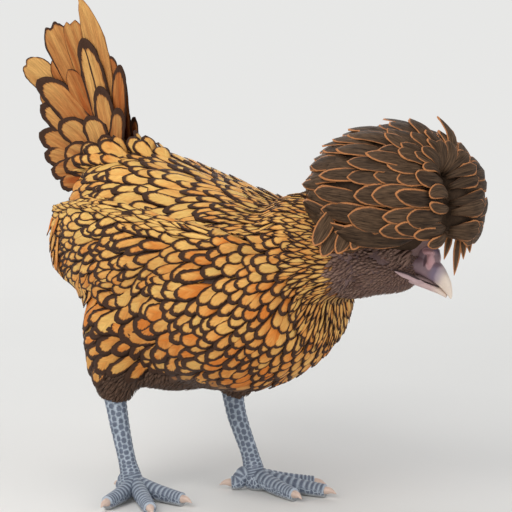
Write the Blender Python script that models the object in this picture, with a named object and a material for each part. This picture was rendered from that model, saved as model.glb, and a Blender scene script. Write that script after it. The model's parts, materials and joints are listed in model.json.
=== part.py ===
"""A life-size polish crested hen, standing with its head low and its tail raised.

The bird looks along +X, +Y is its left side and +Z is up. Sizes are in millimetres until a
mesh is made, and the floor is at z = 0. Each part is one closed solid, and parts that touch keep
a gap of 0.3 mm.
"""

import bpy
import bmesh
import numpy as np
from mathutils import Matrix, Vector

for old in list(bpy.data.objects):
    bpy.data.objects.remove(old)

# Driving dimensions

MM = 0.001
GAP = 0.3

BACK_HEIGHT = 239.0
BELLY_HEIGHT = 77.0
BODY_HALF_WIDTH = 67.0
BREAST_FRONT = 114.0
RUMP_REAR = -118.0

HEAD_CENTRE = np.array([145.5, 27.0, 179.0])
HEAD_YAW = 11.0
HEAD_PITCH = 19.0
BEAK_LENGTH = 42.0
EYE_RADIUS = 4.6
EYE_PLACE = (9.0, 17.0, 9.0)
EAR_PLACE = (-9.0, 23.5, 3.0)
CREST_RIM = -0.70

CREST_RISE = 44.0
CREST_HALF_LENGTH = 62.0
CREST_HALF_WIDTH = 56.0
CREST_HALF_HEIGHT = 47.0

TAIL_ROOT = np.array([-88.0, 0.0, 214.0])
TAIL_LAYER = 1.9
TAIL_BURIED = 16.0
TAIL_SPREAD = 0.14
LOUVRE = 0.17
WING_QUILL_WIDTH = 33.0
WING_TIERS = ((7, -10, 88, 1.4, 0.92), (6, 22, 50, 2.4, 0.84), (5, 50, 44, 3.0, 0.74))

LEG_PLACES = {"right": np.array([-24.0, -46.0, 0.0]), "left": np.array([22.0, 30.0, 0.0])}
HOCK_BACK = {"right": 21.0, "left": 26.0}
HOCK_HEIGHT = 66.0
TOE_HEADINGS = {
    "right": {"inner": 7.0, "middle": -31.0, "outer": -71.0, "hind": 172.0},
    "left": {"inner": -9.0, "middle": 18.0, "outer": 45.0, "hind": -132.0},
}
TOE_LENGTHS = {"inner": 43.0, "middle": 53.0, "outer": 40.0, "hind": 19.0}
CLAW_LENGTH = 8.5
TOE_RADIUS = 5.2
SCUTE_STEP = 0.9

CREST_SPACING = 20.0
CREST_OVERLAP = 0.88
CREST_PARTING = (-18.0, -0.42, 0.52)
VANE_THICKNESS = 1.3

UP = np.array([0.0, 0.0, 1.0])


# Materials

def finish(name, colour, roughness):
    """A material with one colour, from the bird's own colours."""
    made = bpy.data.materials.new(name)
    made.use_nodes = True
    shader = made.node_tree.nodes["Principled BSDF"]
    shader.inputs["Base Color"].default_value = (*colour, 1.0)
    shader.inputs["Roughness"].default_value = roughness
    shader.inputs["Metallic"].default_value = 0.0
    return made


PLUMAGE = finish("laced_plumage", (0.62, 0.33, 0.09), 0.8)
CREST_PLUMAGE = finish("crest_plumage", (0.055, 0.042, 0.036), 0.8)
FACE_PLUMAGE = finish("face_plumage", (0.07, 0.052, 0.046), 0.85)
LEG_SKIN = finish("leg_scales", (0.30, 0.36, 0.42), 0.6)
HORN = finish("horn", (0.62, 0.47, 0.40), 0.4)
EYE_GLOSS = finish("eye", (0.10, 0.03, 0.01), 0.1)


# Curves and meshes

def through(rows, count):
    """Points on the smooth curve that passes through every row, spread evenly between the rows."""
    rows = np.asarray(rows, float)
    padded = np.vstack([2 * rows[0] - rows[1], rows, 2 * rows[-1] - rows[-2]])
    place = np.linspace(0, len(rows) - 1, count)
    step = np.minimum(place.astype(int), len(rows) - 2)
    t = (place - step)[:, None]
    a, b, c, d = (padded[step + shift] for shift in range(4))
    return 0.5 * (2 * b + (c - a) * t + (2 * a - 5 * b + 4 * c - d) * t**2 + (3 * b - a - 3 * c + d) * t**3)


def section(half_width, top, bottom, sides, power=2.0):
    """A closed outline of sides and heights, round or nearly square, flat at no point."""
    angle = np.linspace(0, 2 * np.pi, sides, endpoint=False)
    wide, high = np.cos(angle), np.sin(angle)
    across = np.sign(wide) * np.abs(wide) ** (2 / power) * half_width
    upward = np.sign(high) * np.abs(high) ** (2 / power) * np.where(high > 0, top, bottom)
    return across, upward


def mesh_object(name, points, faces, material):
    """An object from points in millimetres."""
    mesh = bpy.data.meshes.new(name)
    mesh.from_pydata([tuple(p) for p in np.asarray(points) * MM], [], faces)
    mesh.update()
    mesh.materials.append(material)
    made = bpy.data.objects.new(name, mesh)
    bpy.context.scene.collection.objects.link(made)
    return made


def skin_of(name, rings, material):
    """A closed solid whose surface passes through the rings, with a fan over each end."""
    rings = np.asarray(rings)
    count, sides = rings.shape[:2]
    points = np.vstack([rings.reshape(-1, 3), rings[0].mean(0), rings[-1].mean(0)])
    first, last = count * sides, count * sides + 1
    faces = []
    for k in range(count - 1):
        for s in range(sides):
            a, b = k * sides + s, k * sides + (s + 1) % sides
            faces += [(a, b, b + sides), (a, b + sides, a + sides)]
    for s in range(sides):
        after = (s + 1) % sides
        faces.append((first, after, s))
        faces.append((last, (count - 1) * sides + s, (count - 1) * sides + after))
    made = mesh_object(name, points, faces, material)
    face_out(made)
    return made


def face_out(obj):
    """Turns every face outwards."""
    mesh = bmesh.new()
    mesh.from_mesh(obj.data)
    bmesh.ops.recalc_face_normals(mesh, faces=mesh.faces)
    if mesh.calc_volume(signed=True) < 0:
        bmesh.ops.reverse_faces(mesh, faces=mesh.faces)
    mesh.to_mesh(obj.data)
    mesh.free()


def unit(vector):
    return vector / np.linalg.norm(vector)


def tube(name, spine, half_widths, tops, bottoms, sides, material, side=None, power=2.0):
    """A solid along a spine. Its sections stand square to the spine, with their width along side."""
    spine = np.asarray(spine, float)
    along = np.gradient(spine, axis=0)
    rings = []
    for k, place in enumerate(spine):
        forward = unit(along[k])
        across = np.cross(UP, forward) if side is None else side - forward * np.dot(side, forward)
        across = unit(across)
        upward = unit(np.cross(forward, across))
        out, high = section(half_widths[k], tops[k], bottoms[k], sides, power)
        rings.append(place + out[:, None] * across + high[:, None] * upward)
    return skin_of(name, rings, material)


def ball(name, centre, radii, turn, material, rings=10, sides=14):
    """An ellipsoid whose axes are the columns of turn."""
    angle = np.linspace(0.12, np.pi - 0.12, rings)
    spin = np.linspace(0, 2 * np.pi, sides, endpoint=False)
    x = np.cos(angle)[:, None] * np.ones(sides)
    y = np.sin(angle)[:, None] * np.cos(spin)
    z = np.sin(angle)[:, None] * np.sin(spin)
    local = np.stack([x, y, z], -1) * radii
    return skin_of(name, centre + local @ turn.T, material)


# Feathers

WEB = np.array([(0.0, 0.34), (0.30, 0.86), (0.62, 1.0), (0.87, 0.72)])
BROAD_WEB = np.array([(0.0, 0.32), (0.35, 0.80), (0.70, 1.0), (0.92, 0.80)])
LOCK_WEB = np.array([(0.0, 0.45), (0.42, 1.0), (0.80, 0.70)])


def feather(name, path, across, half_width, material, web=WEB, thickness=VANE_THICKNESS, droop=0.6):
    """One feather's vane, as a closed blade that is thickest along its shaft.

    path(s) gives a place and across(s) the direction of the blade's width, for s from the root at
    0 to the tip at 1. Both faces are split into triangles alike, and the edges droop a little.
    """
    points = []
    for s, share in web:
        place, wide = path(s), unit(across(s))
        outward = unit(np.cross(path(min(s + 0.02, 1.0)) - path(s - 0.02), wide))
        half = 0.5 * thickness * (1.0 - 0.35 * s)
        fall = droop * share**2 * outward
        points += [place + wide * half_width * share - fall, place + outward * half,
                   place - wide * half_width * share - fall, place - outward * half]
    points.append(path(1.0))
    tip = len(points) - 1
    faces = [(0, 3, 1), (1, 3, 2)]
    for k in range(len(web) - 1):
        at = 4 * k
        for edge, middle in ((0, 1), (2, 1), (2, 3), (0, 3)):
            faces.append((at + edge, at + middle, at + middle + 4))
            faces.append((at + edge, at + middle + 4, at + edge + 4))
    last = 4 * (len(web) - 1)
    for a, b in ((0, 1), (1, 2), (2, 3), (3, 0)):
        faces.append((last + a, last + b, tip))
    made = mesh_object(name, points, faces, material)
    face_out(made)
    return made


def rise(s):
    """How far out of the body a feather has come, from 0 at its root to 1 at its tip."""
    return 1.0 - (1.0 - s) ** 2


# Joining and cutting

def applied(obj):
    """Puts the result of the object's modifiers in its mesh."""
    graph = bpy.context.evaluated_depsgraph_get()
    mesh = bpy.data.meshes.new_from_object(obj.evaluated_get(graph))
    obj.modifiers.clear()
    obj.data = mesh
    return obj


def boolean(obj, others, operation, solver="EXACT"):
    """Joins the others to the object or cuts them from it, then removes them."""
    helpers = bpy.data.collections.new("helpers")
    bpy.context.scene.collection.children.link(helpers)
    for other in others:
        bpy.context.scene.collection.objects.unlink(other)
        helpers.objects.link(other)
    modifier = obj.modifiers.new(operation.lower(), "BOOLEAN")
    modifier.operation = operation
    modifier.operand_type = "COLLECTION"
    modifier.collection = helpers
    modifier.solver = solver
    applied(obj)
    for other in others:
        bpy.data.objects.remove(other)
    bpy.data.collections.remove(helpers)
    return keep_largest(obj)


def keep_largest(obj):
    """Leaves only the closed surface that holds the most."""
    mesh = bmesh.new()
    mesh.from_mesh(obj.data)
    bmesh.ops.triangulate(mesh, faces=mesh.faces)
    left = set(mesh.faces)
    shells = []
    while left:
        front = [left.pop()]
        shell = list(front)
        while front:
            found = {n for e in front.pop().edges for n in e.link_faces} & left
            left -= found
            front += found
            shell += found
        corners = np.array([[v.co for v in f.verts] for f in shell])
        shells.append((abs(np.linalg.det(corners).sum()), shell))
    shells.sort(key=lambda s: -s[0])
    for _, shell in shells[1:]:
        bmesh.ops.delete(mesh, geom=shell, context="FACES")
    mesh.to_mesh(obj.data)
    mesh.free()
    return obj


def grown(obj, distance=GAP):
    """A copy whose surface stands off by the distance, to cut a neighbour with."""
    made = bpy.data.objects.new(obj.name + "_grown", obj.data.copy())
    bpy.context.scene.collection.objects.link(made)
    mesh = bmesh.new()
    mesh.from_mesh(made.data)
    bmesh.ops.remove_doubles(mesh, verts=mesh.verts, dist=0.01 * MM)
    mesh.normal_update()
    for vert in mesh.verts:
        vert.co += vert.normal * distance * vert.calc_shell_factor() * MM
    mesh.to_mesh(made.data)
    mesh.free()
    return made


# The trunk

def torso():
    """The feathered body from the rump to the breast, as upright sections along the bird."""
    stations = np.array([
        (RUMP_REAR, 3, 200, 190),
        (-114, 22, 216, 170),
        (-104, 39, 229, 144),
        (-84, 53, 237, 112),
        (-52, 63, BACK_HEIGHT, 88),
        (-15, BODY_HALF_WIDTH, 232, 78),
        (22, BODY_HALF_WIDTH + 1, 223, BELLY_HEIGHT),
        (58, BODY_HALF_WIDTH - 2, 215, 82),
        (86, 56, 207, 97),
        (103, 42, 199, 113),
        (111, 25, 180, 130),
        (BREAST_FRONT, 3, 158, 150),
    ])
    sides = 18
    rings = []
    for x, half_width, top, bottom in through(stations, 21):
        middle = 0.5 * (top + bottom)
        out, high = section(max(half_width, 2.5), top - middle, middle - bottom, sides, 2.1)
        rings.append(np.stack([np.full(sides, x), out, middle + high], -1))
    return skin_of("torso", rings, PLUMAGE)


def head_axes():
    """The head's own axes as columns: forward along the bill, to its left, and up."""
    yaw, pitch = np.radians([HEAD_YAW, HEAD_PITCH])
    level = np.array([np.cos(yaw), np.sin(yaw), 0.0])
    forward = level * np.cos(pitch) - UP * np.sin(pitch)
    left = np.cross(UP, level)
    return np.stack([forward, left, np.cross(forward, left)], -1)


HEAD_AXES = head_axes()


def on_head(points):
    """Points given along the head's axes from its centre, as places in space."""
    return HEAD_CENTRE + np.asarray(points, float) @ HEAD_AXES.T


def neck():
    """The neck from inside the breast to the back of the head."""
    rear = on_head([-20, 0, -8])
    mid = on_head([-6, 0, -4])
    rows = [
        (64, 0, 176, 32, 24, 28),
        (92, 3, 184, 40, 36, 38),
        (112, 9, 186, 36, 32, 38),
        (*rear, 27, 26, 29),
        (*mid, 21, 20, 22),
    ]
    run = through(rows, 11)
    return tube("neck", run[:, :3], run[:, 3], run[:, 4], run[:, 5], 16, PLUMAGE)


HEAD_ROWS = np.array([
    (-30, -2, 12, 12, 14),
    (-24, -4, 22, 21, 26),
    (-12, -3, 25, 25, 27),
    (0, -2, 25, 24, 24),
    (12, -1, 20.5, 21, 18),
    (20, 1, 15, 17, 12),
    (25, 2, 10, 13, 8),
    (27, 2, 5, 8, 5),
], float)


def head_section(x):
    """The head's middle height, half width, height above it and depth below it, at a place along it."""
    run = through(HEAD_ROWS, 57)
    return [np.interp(x, run[:, 0], run[:, k]) for k in range(1, 5)]


def on_cheek(x, turn, share):
    """A place on the head at the angle turn below its side, at the share of the way out to its surface."""
    middle, half_width, top, bottom = head_section(x)
    upward = np.sin(turn) * (top if turn > 0 else bottom)
    return on_head([x, share * half_width * np.cos(turn), middle + share * upward])


def beard():
    """The muffs and beard, as flat tapered locks in rows from the bill back to the neck."""
    chance = np.random.default_rng(4)
    locks = []
    for row, root in enumerate([16.0, 6.0, -4.0]):
        count = 6 + row
        for k in range(count):
            turn = np.radians(np.interp((k + 0.5 * (row % 2)) / (count - 0.5), [0, 1], [12, -192]))
            length = chance.uniform(15, 18)
            lift = 1.07 + 0.02 * chance.random()

            def path(s, root=root, turn=turn, length=length, lift=lift):
                return on_cheek(root - length * s, turn, 0.92 + (lift - 0.92) * rise(s))

            def across(s, root=root, turn=turn, length=length):
                ahead, behind = (on_cheek(root - length * s, turn + d, 1.0) for d in (-0.05, 0.05))
                return behind - ahead

            locks.append(feather("lock", path, across, 5.0, FACE_PLUMAGE, web=LOCK_WEB,
                                 thickness=1.1, droop=0.4))
    return locks


def ring(name, centre, axis, radii, thick, material):
    """A raised rim round an eye or an ear."""
    sides, tube_sides = 8, 4
    across = unit(np.cross(axis, UP))
    upward = np.cross(across, axis)
    points, faces = [], []
    for k in range(sides):
        turn = 2 * np.pi * k / sides
        out = np.cos(turn) * across * radii[0] + np.sin(turn) * upward * radii[1]
        for j in range(tube_sides):
            bend = 2 * np.pi * j / tube_sides + 0.3
            points.append(centre + out + thick * (np.cos(bend) * unit(out) + np.sin(bend) * axis))
            a, b = k * tube_sides + j, k * tube_sides + (j + 1) % tube_sides
            c, d = ((k + 1) % sides) * tube_sides + j, ((k + 1) % sides) * tube_sides + (j + 1) % tube_sides
            faces += [(a, b, d), (a, d, c)]
    made = mesh_object(name, points, faces, material)
    face_out(made)
    return made


def head():
    """The feathered head with its beard, the lids round its eyes and the cups of its ears."""
    run = through(HEAD_ROWS, 12)
    spine = on_head(np.stack([run[:, 0], 0 * run[:, 0], run[:, 1]], -1))
    made = tube("head", spine, run[:, 2], run[:, 3], run[:, 4], 14, FACE_PLUMAGE, side=HEAD_AXES[:, 1])
    extras = beard()
    hollows = []
    for side in (-1, 1):
        axis = HEAD_AXES[:, 1] * side
        extras.append(ring("lids", on_head([EYE_PLACE[0], side * (EYE_PLACE[1] + 1.0), EYE_PLACE[2]]), axis,
                           (EYE_RADIUS + 1.0, EYE_RADIUS + 0.4), 1.5, FACE_PLUMAGE))
        ear = on_head([EAR_PLACE[0], side * EAR_PLACE[1], EAR_PLACE[2]])
        extras.append(ring("ear", ear, axis, (3.6, 4.4), 1.2, FACE_PLUMAGE))
        hollows.append(ball("ear_hollow", ear, np.array([2.4, 2.4, 3.0]), HEAD_AXES, FACE_PLUMAGE, 5, 8))
    made = boolean(made, extras, "UNION")
    return boolean(made, hollows, "DIFFERENCE")


def crest_turn():
    yaw = np.radians(HEAD_YAW)
    return np.array([[np.cos(yaw), -np.sin(yaw), 0], [np.sin(yaw), np.cos(yaw), 0], [0, 0, 1.0]])


CREST_CENTRE = HEAD_CENTRE + crest_turn() @ [6, 0, CREST_RISE]
CREST_RADII = np.array([CREST_HALF_LENGTH, CREST_HALF_WIDTH, CREST_HALF_HEIGHT])
KNOB_CENTRE = HEAD_CENTRE + crest_turn() @ [1, 0, 31]
KNOB_RADII = np.array([30.0, 26.0, 23.0])


def crest_place(away, share):
    """A place between the knob under the crest and the crest's outline, in the direction away.

    Below its middle the outline is squarer, as the feathers hang there instead of turning in.
    """
    level = np.hypot(away[0], away[1])
    power = 3.0 if away[2] < 0 else 2.0
    outer = away / (level**power + abs(away[2]) ** power) ** (1 / power)
    inner = KNOB_CENTRE + crest_turn() @ (KNOB_RADII * away)
    return inner + share * (CREST_CENTRE + crest_turn() @ (CREST_RADII * outer) - inner)


def crest_away(flat):
    """The direction for a point of the flat map round the parting, whose distances are angles."""
    bearing, _, _ = CREST_PARTING
    distance = np.linalg.norm(flat)
    if distance < 1e-6:
        local = np.array([1.0, 0.0, 0.0])
    else:
        sideways, upward = flat / distance * np.sin(distance)
        local = np.array([np.cos(distance), sideways, upward])
    turn = np.radians(bearing)
    return np.array([np.cos(turn) * local[0] - np.sin(turn) * local[1],
                     np.sin(turn) * local[0] + np.cos(turn) * local[1], local[2]])


def round_parting(distance, count=240):
    """The source on the parting and the way outwards, for each point of the oval at one distance from it."""
    _, low, high = CREST_PARTING
    found = []
    for share in np.linspace(0, 1, count, endpoint=False):
        run = share * (2 * np.pi * distance + 2 * (high - low))
        arc, straight = np.pi * distance, high - low
        if run < arc:
            turn, source = np.pi * run / arc, high
        elif run < arc + straight:
            turn, source = np.pi, high - (run - arc)
        elif run < 2 * arc + straight:
            turn, source = np.pi + np.pi * (run - arc - straight) / arc, low
        else:
            turn, source = 2 * np.pi, low + (run - 2 * arc - straight)
        found.append((np.array([0.0, source]), np.array([np.cos(turn), np.sin(turn)])))
    return found


def crest():
    """The crest, feather by feather, in rows that flow away from the parting over the knob."""
    chance = np.random.default_rng(11)
    made = ball("crest", KNOB_CENTRE, KNOB_RADII, crest_turn(), CREST_PLUMAGE, 7, 10)
    feathers = []
    for row, reach in enumerate([0.26, 0.54, 0.83, 1.12, 1.41, 1.70, 1.99, 2.30]):
        oval = round_parting(reach)
        places = np.array([crest_place(crest_away(source + way * reach), 1.0) for source, way in oval])
        steps = np.linalg.norm(np.roll(places, -1, 0) - places, axis=1)
        travelled = np.concatenate([[0], np.cumsum(steps)])
        count = max(6, int(round(travelled[-1] / CREST_SPACING)))
        for k in range(count):
            at = (k + 0.5 * (row % 2) + chance.uniform(-0.03, 0.03)) / count % 1.0 * travelled[-1]
            here = min(int(np.searchsorted(travelled, at, "right")) - 1, len(oval) - 1)
            source, way = oval[here]
            beside = [oval[(here + shift) % len(oval)] for shift in (-1, 1)]
            if crest_away(source + way * reach)[2] < CREST_RIM:
                continue
            start = max(reach - 0.90, 0.02 + 0.12 * row)
            end = reach + chance.uniform(-0.05, 0.05)
            out = chance.uniform(0.985, 1.015)
            steepness = 2.0 + 6.0 * max(0.0, 1.0 - reach / 0.70) ** 1.5

            def line(origin, toward, s, start=start, end=end, out=out, steepness=steepness):
                share = 1.0 - (1.0 - s) ** steepness if s < 1.0 else 1.0
                return crest_place(crest_away(origin + toward * (start + (end - start) * s)),
                                   -0.12 + (out + 0.12) * share)

            def path(s, line=line, source=source, way=way):
                return line(source, way, s)

            def between(s, line=line, beside=beside):
                return line(*beside[1], s) - line(*beside[0], s)

            half_width = 0.5 * CREST_OVERLAP * travelled[-1] / count
            room = np.linalg.norm(between(1.0))
            web = np.array([(s, min(share, np.linalg.norm(between(s)) / room)) for s, share in WEB])
            feathers.append(feather("plume", path, between, half_width, CREST_PLUMAGE, web=web))
    return boolean(made, feathers, "UNION")


def beak(name, rows):
    """One half of the bill, from rows of place, half width, lower edge and upper edge."""
    sides = 10
    rings = []
    for x, half_width, low, high in through(rows, 10):
        middle = 0.5 * (low + high)
        out, upward = section(half_width, high - middle, middle - low, sides, 2.3)
        rings.append(on_head(np.stack([np.full(sides, 11.2 + x), out, middle - 2.4 + upward], -1)))
    return skin_of(name, rings, HORN)


def upper_beak():
    """The upper half of the bill, with the raised nostrils of the breed at its root."""
    made = beak("beak_upper", [
        (2, 9.5, 1.0, 9.0), (12, 8.8, 2.4, 15.0), (20, 7.4, 2.5, 16.5), (27, 6.0, 1.8, 15.0),
        (33, 4.4, 0.3, 11.0), (38, 2.8, -1.8, 6.3), (41.3, 1.3, -3.6, 0.3), (BEAK_LENGTH, 0.4, -4.3, -3.2),
    ])
    arches, openings = [], []
    for side in (-1, 1):
        arches.append(ball("nostril_arch", on_head([29.5, side * 4.0, 12.6]), np.array([6.0, 3.6, 4.2]),
                           HEAD_AXES, HORN, 6, 8))
        openings.append(ball("nostril", on_head([31.5, side * 7.8, 11.2]), np.array([2.6, 2.0, 1.3]),
                             HEAD_AXES, HORN, 5, 6))
    made = boolean(made, arches, "UNION")
    return boolean(made, openings, "DIFFERENCE")


def lower_beak():
    return beak("beak_lower", [
        (2, 9.0, -7.0, 0.2), (12, 8.0, -6.4, 1.6), (20, 6.5, -5.4, 1.7), (27, 4.7, -4.6, 1.0),
        (33, 2.6, -3.9, -0.6), (36.5, 0.7, -3.4, -2.0),
    ])


def eye(name, side):
    """An eyeball, set in the side of the head."""
    centre = on_head([EYE_PLACE[0], side * EYE_PLACE[1], EYE_PLACE[2]])
    return ball(name, centre, np.array([EYE_RADIUS, 3.4, EYE_RADIUS]), HEAD_AXES, EYE_GLOSS, 6, 10)


# Wings and tail

WING_ROWS = np.array([
    (88, 42, 183, 4, 8, 8),
    (74, 52, 183, 8, 15, 16),
    (38, 60, 182, 11, 22, 22),
    (0, 63, 181, 12, 28, 28),
    (-45, 62, 180, 11, 33, 34),
    (-80, 56, 177, 8, 30, 30),
    (-104, 51, 177, 4, 24, 20),
], float)


def wing_section(x):
    """The folded wing's side and height, and its thickness, rise and drop there, at a place along it."""
    run = through(WING_ROWS, 49)[::-1]
    return [np.interp(x, run[:, 0], run[:, k]) for k in range(1, 6)]


def on_wing(side, x, level, lift):
    """A place on the folded wing: level runs from -1 at its lower edge to 1 at its upper edge."""
    y, z, thickness, top, bottom = wing_section(x)
    bulge = thickness * np.sqrt(max(1.0 - level**2, 0.0))
    return np.array([x, side * (y + bulge + lift), z + level * (top if level > 0 else bottom)])


def wing_arm(name, side):
    """The part of the wing under its coverts, which ends where only quills go on."""
    places = np.concatenate([np.linspace(88, -52, 10), [-60, -64]])
    shrink = np.concatenate([np.ones(10), [0.7, 0.25]])
    spine, sizes = [], []
    for x, share in zip(places, shrink):
        y, z, thickness, top, bottom = wing_section(x)
        spine.append((x, side * y, z))
        sizes.append((thickness * share, top * share * 0.97, bottom * share * 0.97))
    sizes = np.array(sizes)
    return tube(name, spine, sizes[:, 0], sizes[:, 1], sizes[:, 2], 10, PLUMAGE)


def wing(name, side):
    """A folded wing: the arm, with quills that end at the rump under two tiers of coverts."""
    chance = np.random.default_rng(23)
    feathers = []
    for count, root, length, lift, spread in WING_TIERS:
        for level in np.linspace(spread, -spread, count):
            start = root - 6.0 * abs(level) + chance.uniform(-1.5, 1.5)
            end = start - length + 10.0 * level**2 + chance.uniform(-2, 2)

            def place(s, aside, out, level=level, start=start, end=end):
                return on_wing(side, start + (end - start) * s, level * (1.0 - 0.12 * s) + aside, out)

            def path(s, place=place, lift=lift):
                return place(s, 0.0, -1.3 + (lift + 1.3) * rise(s))

            def across(s, place=place):
                return unit(place(s, 0.03, 0.0) - place(s, -0.03, 0.0)) - [0, side * LOUVRE, 0]

            feathers.append(feather("quill", path, across, WING_QUILL_WIDTH * spread / (count - 1), PLUMAGE,
                                    web=BROAD_WEB if lift < 2 else WEB, thickness=1.1, droop=0.3))
    return boolean(wing_arm(name, side), feathers, "UNION")


TAIL_FEATHERS = [(11.5, 131), (18, 125), (23.5, 126), (29, 128), (35, 121), (41, 122), (46, 102)]
LONG_COVERTS = [(5, 94), (16, 100), (29, 95), (41, 90), (51, 76)]
SHORT_COVERTS = [(3, 66), (26, 62), (49, 60), (72, 48)]
FAR_SIDE_SHARE = 0.87
TAIL_LEAN = 28.0


def fan_feather(side, lean, length, half_width, offset, spacing, web):
    """A feather of the tail's fan, leaning back from upright by an angle in degrees.

    Each blade is tilted about its own shaft, by what its neighbours' spacing asks, so that its rear
    edge lies over the next one.
    """
    turn = np.radians(lean)
    splay = TAIL_SPREAD * turn

    ray = np.array([-np.sin(turn) * np.cos(splay), side * np.sin(splay), np.cos(turn) * np.cos(splay)])
    reach = length * (FAR_SIDE_SHARE if side > 0 else 1.0)

    def path(s):
        aside = (offset + 0.02 * lean) * (0.5 + 0.5 * min(s / 0.3, 1.0))
        return TAIL_ROOT + [0, side * aside, 0] + ray * (TAIL_BURIED + (reach - TAIL_BURIED) * s)

    def across(s):
        backward = unit(np.array([-np.cos(turn), 0.0, -np.sin(turn)]))
        gap = max(np.radians(spacing) * length * max(s, 0.05), 2.5)
        return backward + np.array([0.0, side * (TAIL_SPREAD + min(TAIL_LAYER / gap, 0.6)), 0.0])

    return feather("tail_feather", path, across, half_width, PLUMAGE, web=web, thickness=1.3, droop=0.0)


def tail():
    """The raised tail: a tent of quills on each side, under two tiers of coverts."""
    lean = np.radians(TAIL_LEAN)
    turn = np.stack([[-np.sin(lean), 0, np.cos(lean)], [0, 1, 0], [-np.cos(lean), 0, -np.sin(lean)]], -1)
    made = ball("tail", TAIL_ROOT + turn @ [12.0, 0, 0], np.array([30.0, 12.0, 21.0]), turn, PLUMAGE, 8, 12)
    feathers = []
    for side in (-1, 1):
        for lean, length in TAIL_FEATHERS:
            feathers.append(fan_feather(side, lean, length, 13.0, 3.6, 6.0, BROAD_WEB))
        for lean, length in LONG_COVERTS:
            feathers.append(fan_feather(side, lean, length, 11.0, 8.2, 12.0, WEB))
        for lean, length in SHORT_COVERTS:
            feathers.append(fan_feather(side, lean, length, 11.0, 12.0, 23.0, WEB))
    return boolean(made, feathers, "UNION")


# Legs

def thigh(name, which):
    """The feathered thigh, down to the hock."""
    foot = LEG_PLACES[which]
    hock = foot + [-HOCK_BACK[which], 0, HOCK_HEIGHT]
    rows = [
        (foot[0] - 8, foot[1] * 0.5, 148, 20, 22, 22),
        (foot[0] - 12, foot[1] * 0.74, 128, 33, 35, 35),
        (foot[0] - 15, foot[1] * 0.9, 106, 30, 32, 32),
        (foot[0] - 19, foot[1] * 0.98, 86, 21, 22, 22),
        (hock[0] + 1, hock[1], HOCK_HEIGHT, 11, 11, 11),
    ]
    run = through(rows, 8)
    return tube(name, run[:, :3], run[:, 3], run[:, 4], run[:, 5], 16, PLUMAGE, side=np.array([0, 1.0, 0]))


def scutes(count):
    """Where the stations of a scaled limb lie, and how far each stands out: low under a plate's upper
    edge and high at its lower edge, which lies over the next plate."""
    places = np.sort(np.concatenate([np.arange(count), np.arange(count) + 0.88])) / count
    return np.append(places, 1.0), np.append(np.tile([0.0, SCUTE_STEP], count), 0.0)


def scaled_limb(name, rows, count, sides, side):
    """A limb through rows of place and radius, with plates raised along its front or upper side."""
    places, raised = scutes(count)
    run = through(rows, 61)
    run = np.stack([np.interp(places, np.linspace(0, 1, 61), run[:, k]) for k in range(run.shape[1])], -1)
    radius = run[:, 3]
    return tube(name, run[:, :3], radius + 0.3 * raised, radius * 1.12 + raised, radius * 1.05, sides,
                LEG_SKIN, side=side)


def shank(name, which):
    """The scaled shank from the hock to the foot."""
    foot = LEG_PLACES[which]
    hock = foot + [-HOCK_BACK[which], 0, HOCK_HEIGHT]
    rows = [(*(hock + [-1, 0, 6]), 7.4), (*(hock + [4, 0, -14]), 6.6), (*(foot + [-9, 0, 26]), 5.8),
            (*(foot + [-4, 0, 12]), 7.2)]
    return scaled_limb(name, rows, 9, 8, np.array([0, 1.0, 0]))


def toe_path(which, toe):
    """A toe's centre line from the ball of the foot to the root of its claw."""
    foot = LEG_PLACES[which]
    heading = np.radians(TOE_HEADINGS[which][toe])
    ahead = np.array([np.cos(heading), np.sin(heading), 0.0])
    length = TOE_LENGTHS[toe]
    start = foot + [0, 0, 9.0] if toe != "hind" else foot + [-4, 0, 12.0]
    return np.array([start + ahead * 1.0,
                     start + ahead * length * 0.4 + UP * -2.5,
                     foot + ahead * length * 0.75 + UP * TOE_RADIUS,
                     foot + ahead * length + UP * TOE_RADIUS * 0.9]), ahead


def foot(name, which):
    """The ball of the foot with its four toes, flat underneath."""
    place = LEG_PLACES[which]
    pad = ball(name, place + [-1, 0, 6.0], np.array([11.0, 9.0, 8.0]), np.eye(3), LEG_SKIN, 7, 10)
    toes = []
    for toe in TOE_LENGTHS:
        path, ahead = toe_path(which, toe)
        radius = np.linspace(TOE_RADIUS * 1.12, TOE_RADIUS * 0.82, len(path))
        count = 2 if toe == "hind" else 5
        toes.append(scaled_limb(name + toe, np.column_stack([path, radius]), count, 8, np.cross(UP, ahead)))
    made = boolean(pad, toes, "UNION")
    return flat_bottom(made)


def flat_bottom(obj, level=0.6):
    """Cuts off what lies under the level and sets the cut on the floor."""
    block = mesh_object("floor", [(x, y, z) for x in (-300, 300) for y in (-300, 300) for z in (-80, level)],
                        [(0, 1, 3, 2), (4, 6, 7, 5), (0, 4, 5, 1), (2, 3, 7, 6), (0, 2, 6, 4), (1, 5, 7, 3)],
                        LEG_SKIN)
    face_out(block)
    boolean(obj, [block], "DIFFERENCE")
    obj.data.transform(Matrix.Translation((0, 0, -level * MM)))
    return obj


def claw(name, which, toe):
    """A curved claw on the end of its toe."""
    path, ahead = toe_path(which, toe)
    end = path[-1]
    rows = [
        (*(end + ahead * 1.0 + UP * 0.6), 2.6),
        (*(end + ahead * CLAW_LENGTH * 0.5 + UP * 1.0), 2.0),
        (*(end + ahead * CLAW_LENGTH + UP * -0.9), 0.4),
    ]
    run = through(rows, 4)
    return tube(name, run[:, :3], run[:, 3], run[:, 3], run[:, 3], 6, HORN, side=np.cross(UP, ahead))


# Assembly

def cut_clear(obj, *neighbours):
    """Cuts the object back so that it meets each neighbour face to face."""
    return boolean(obj, [grown(n) for n in neighbours], "DIFFERENCE")


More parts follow.
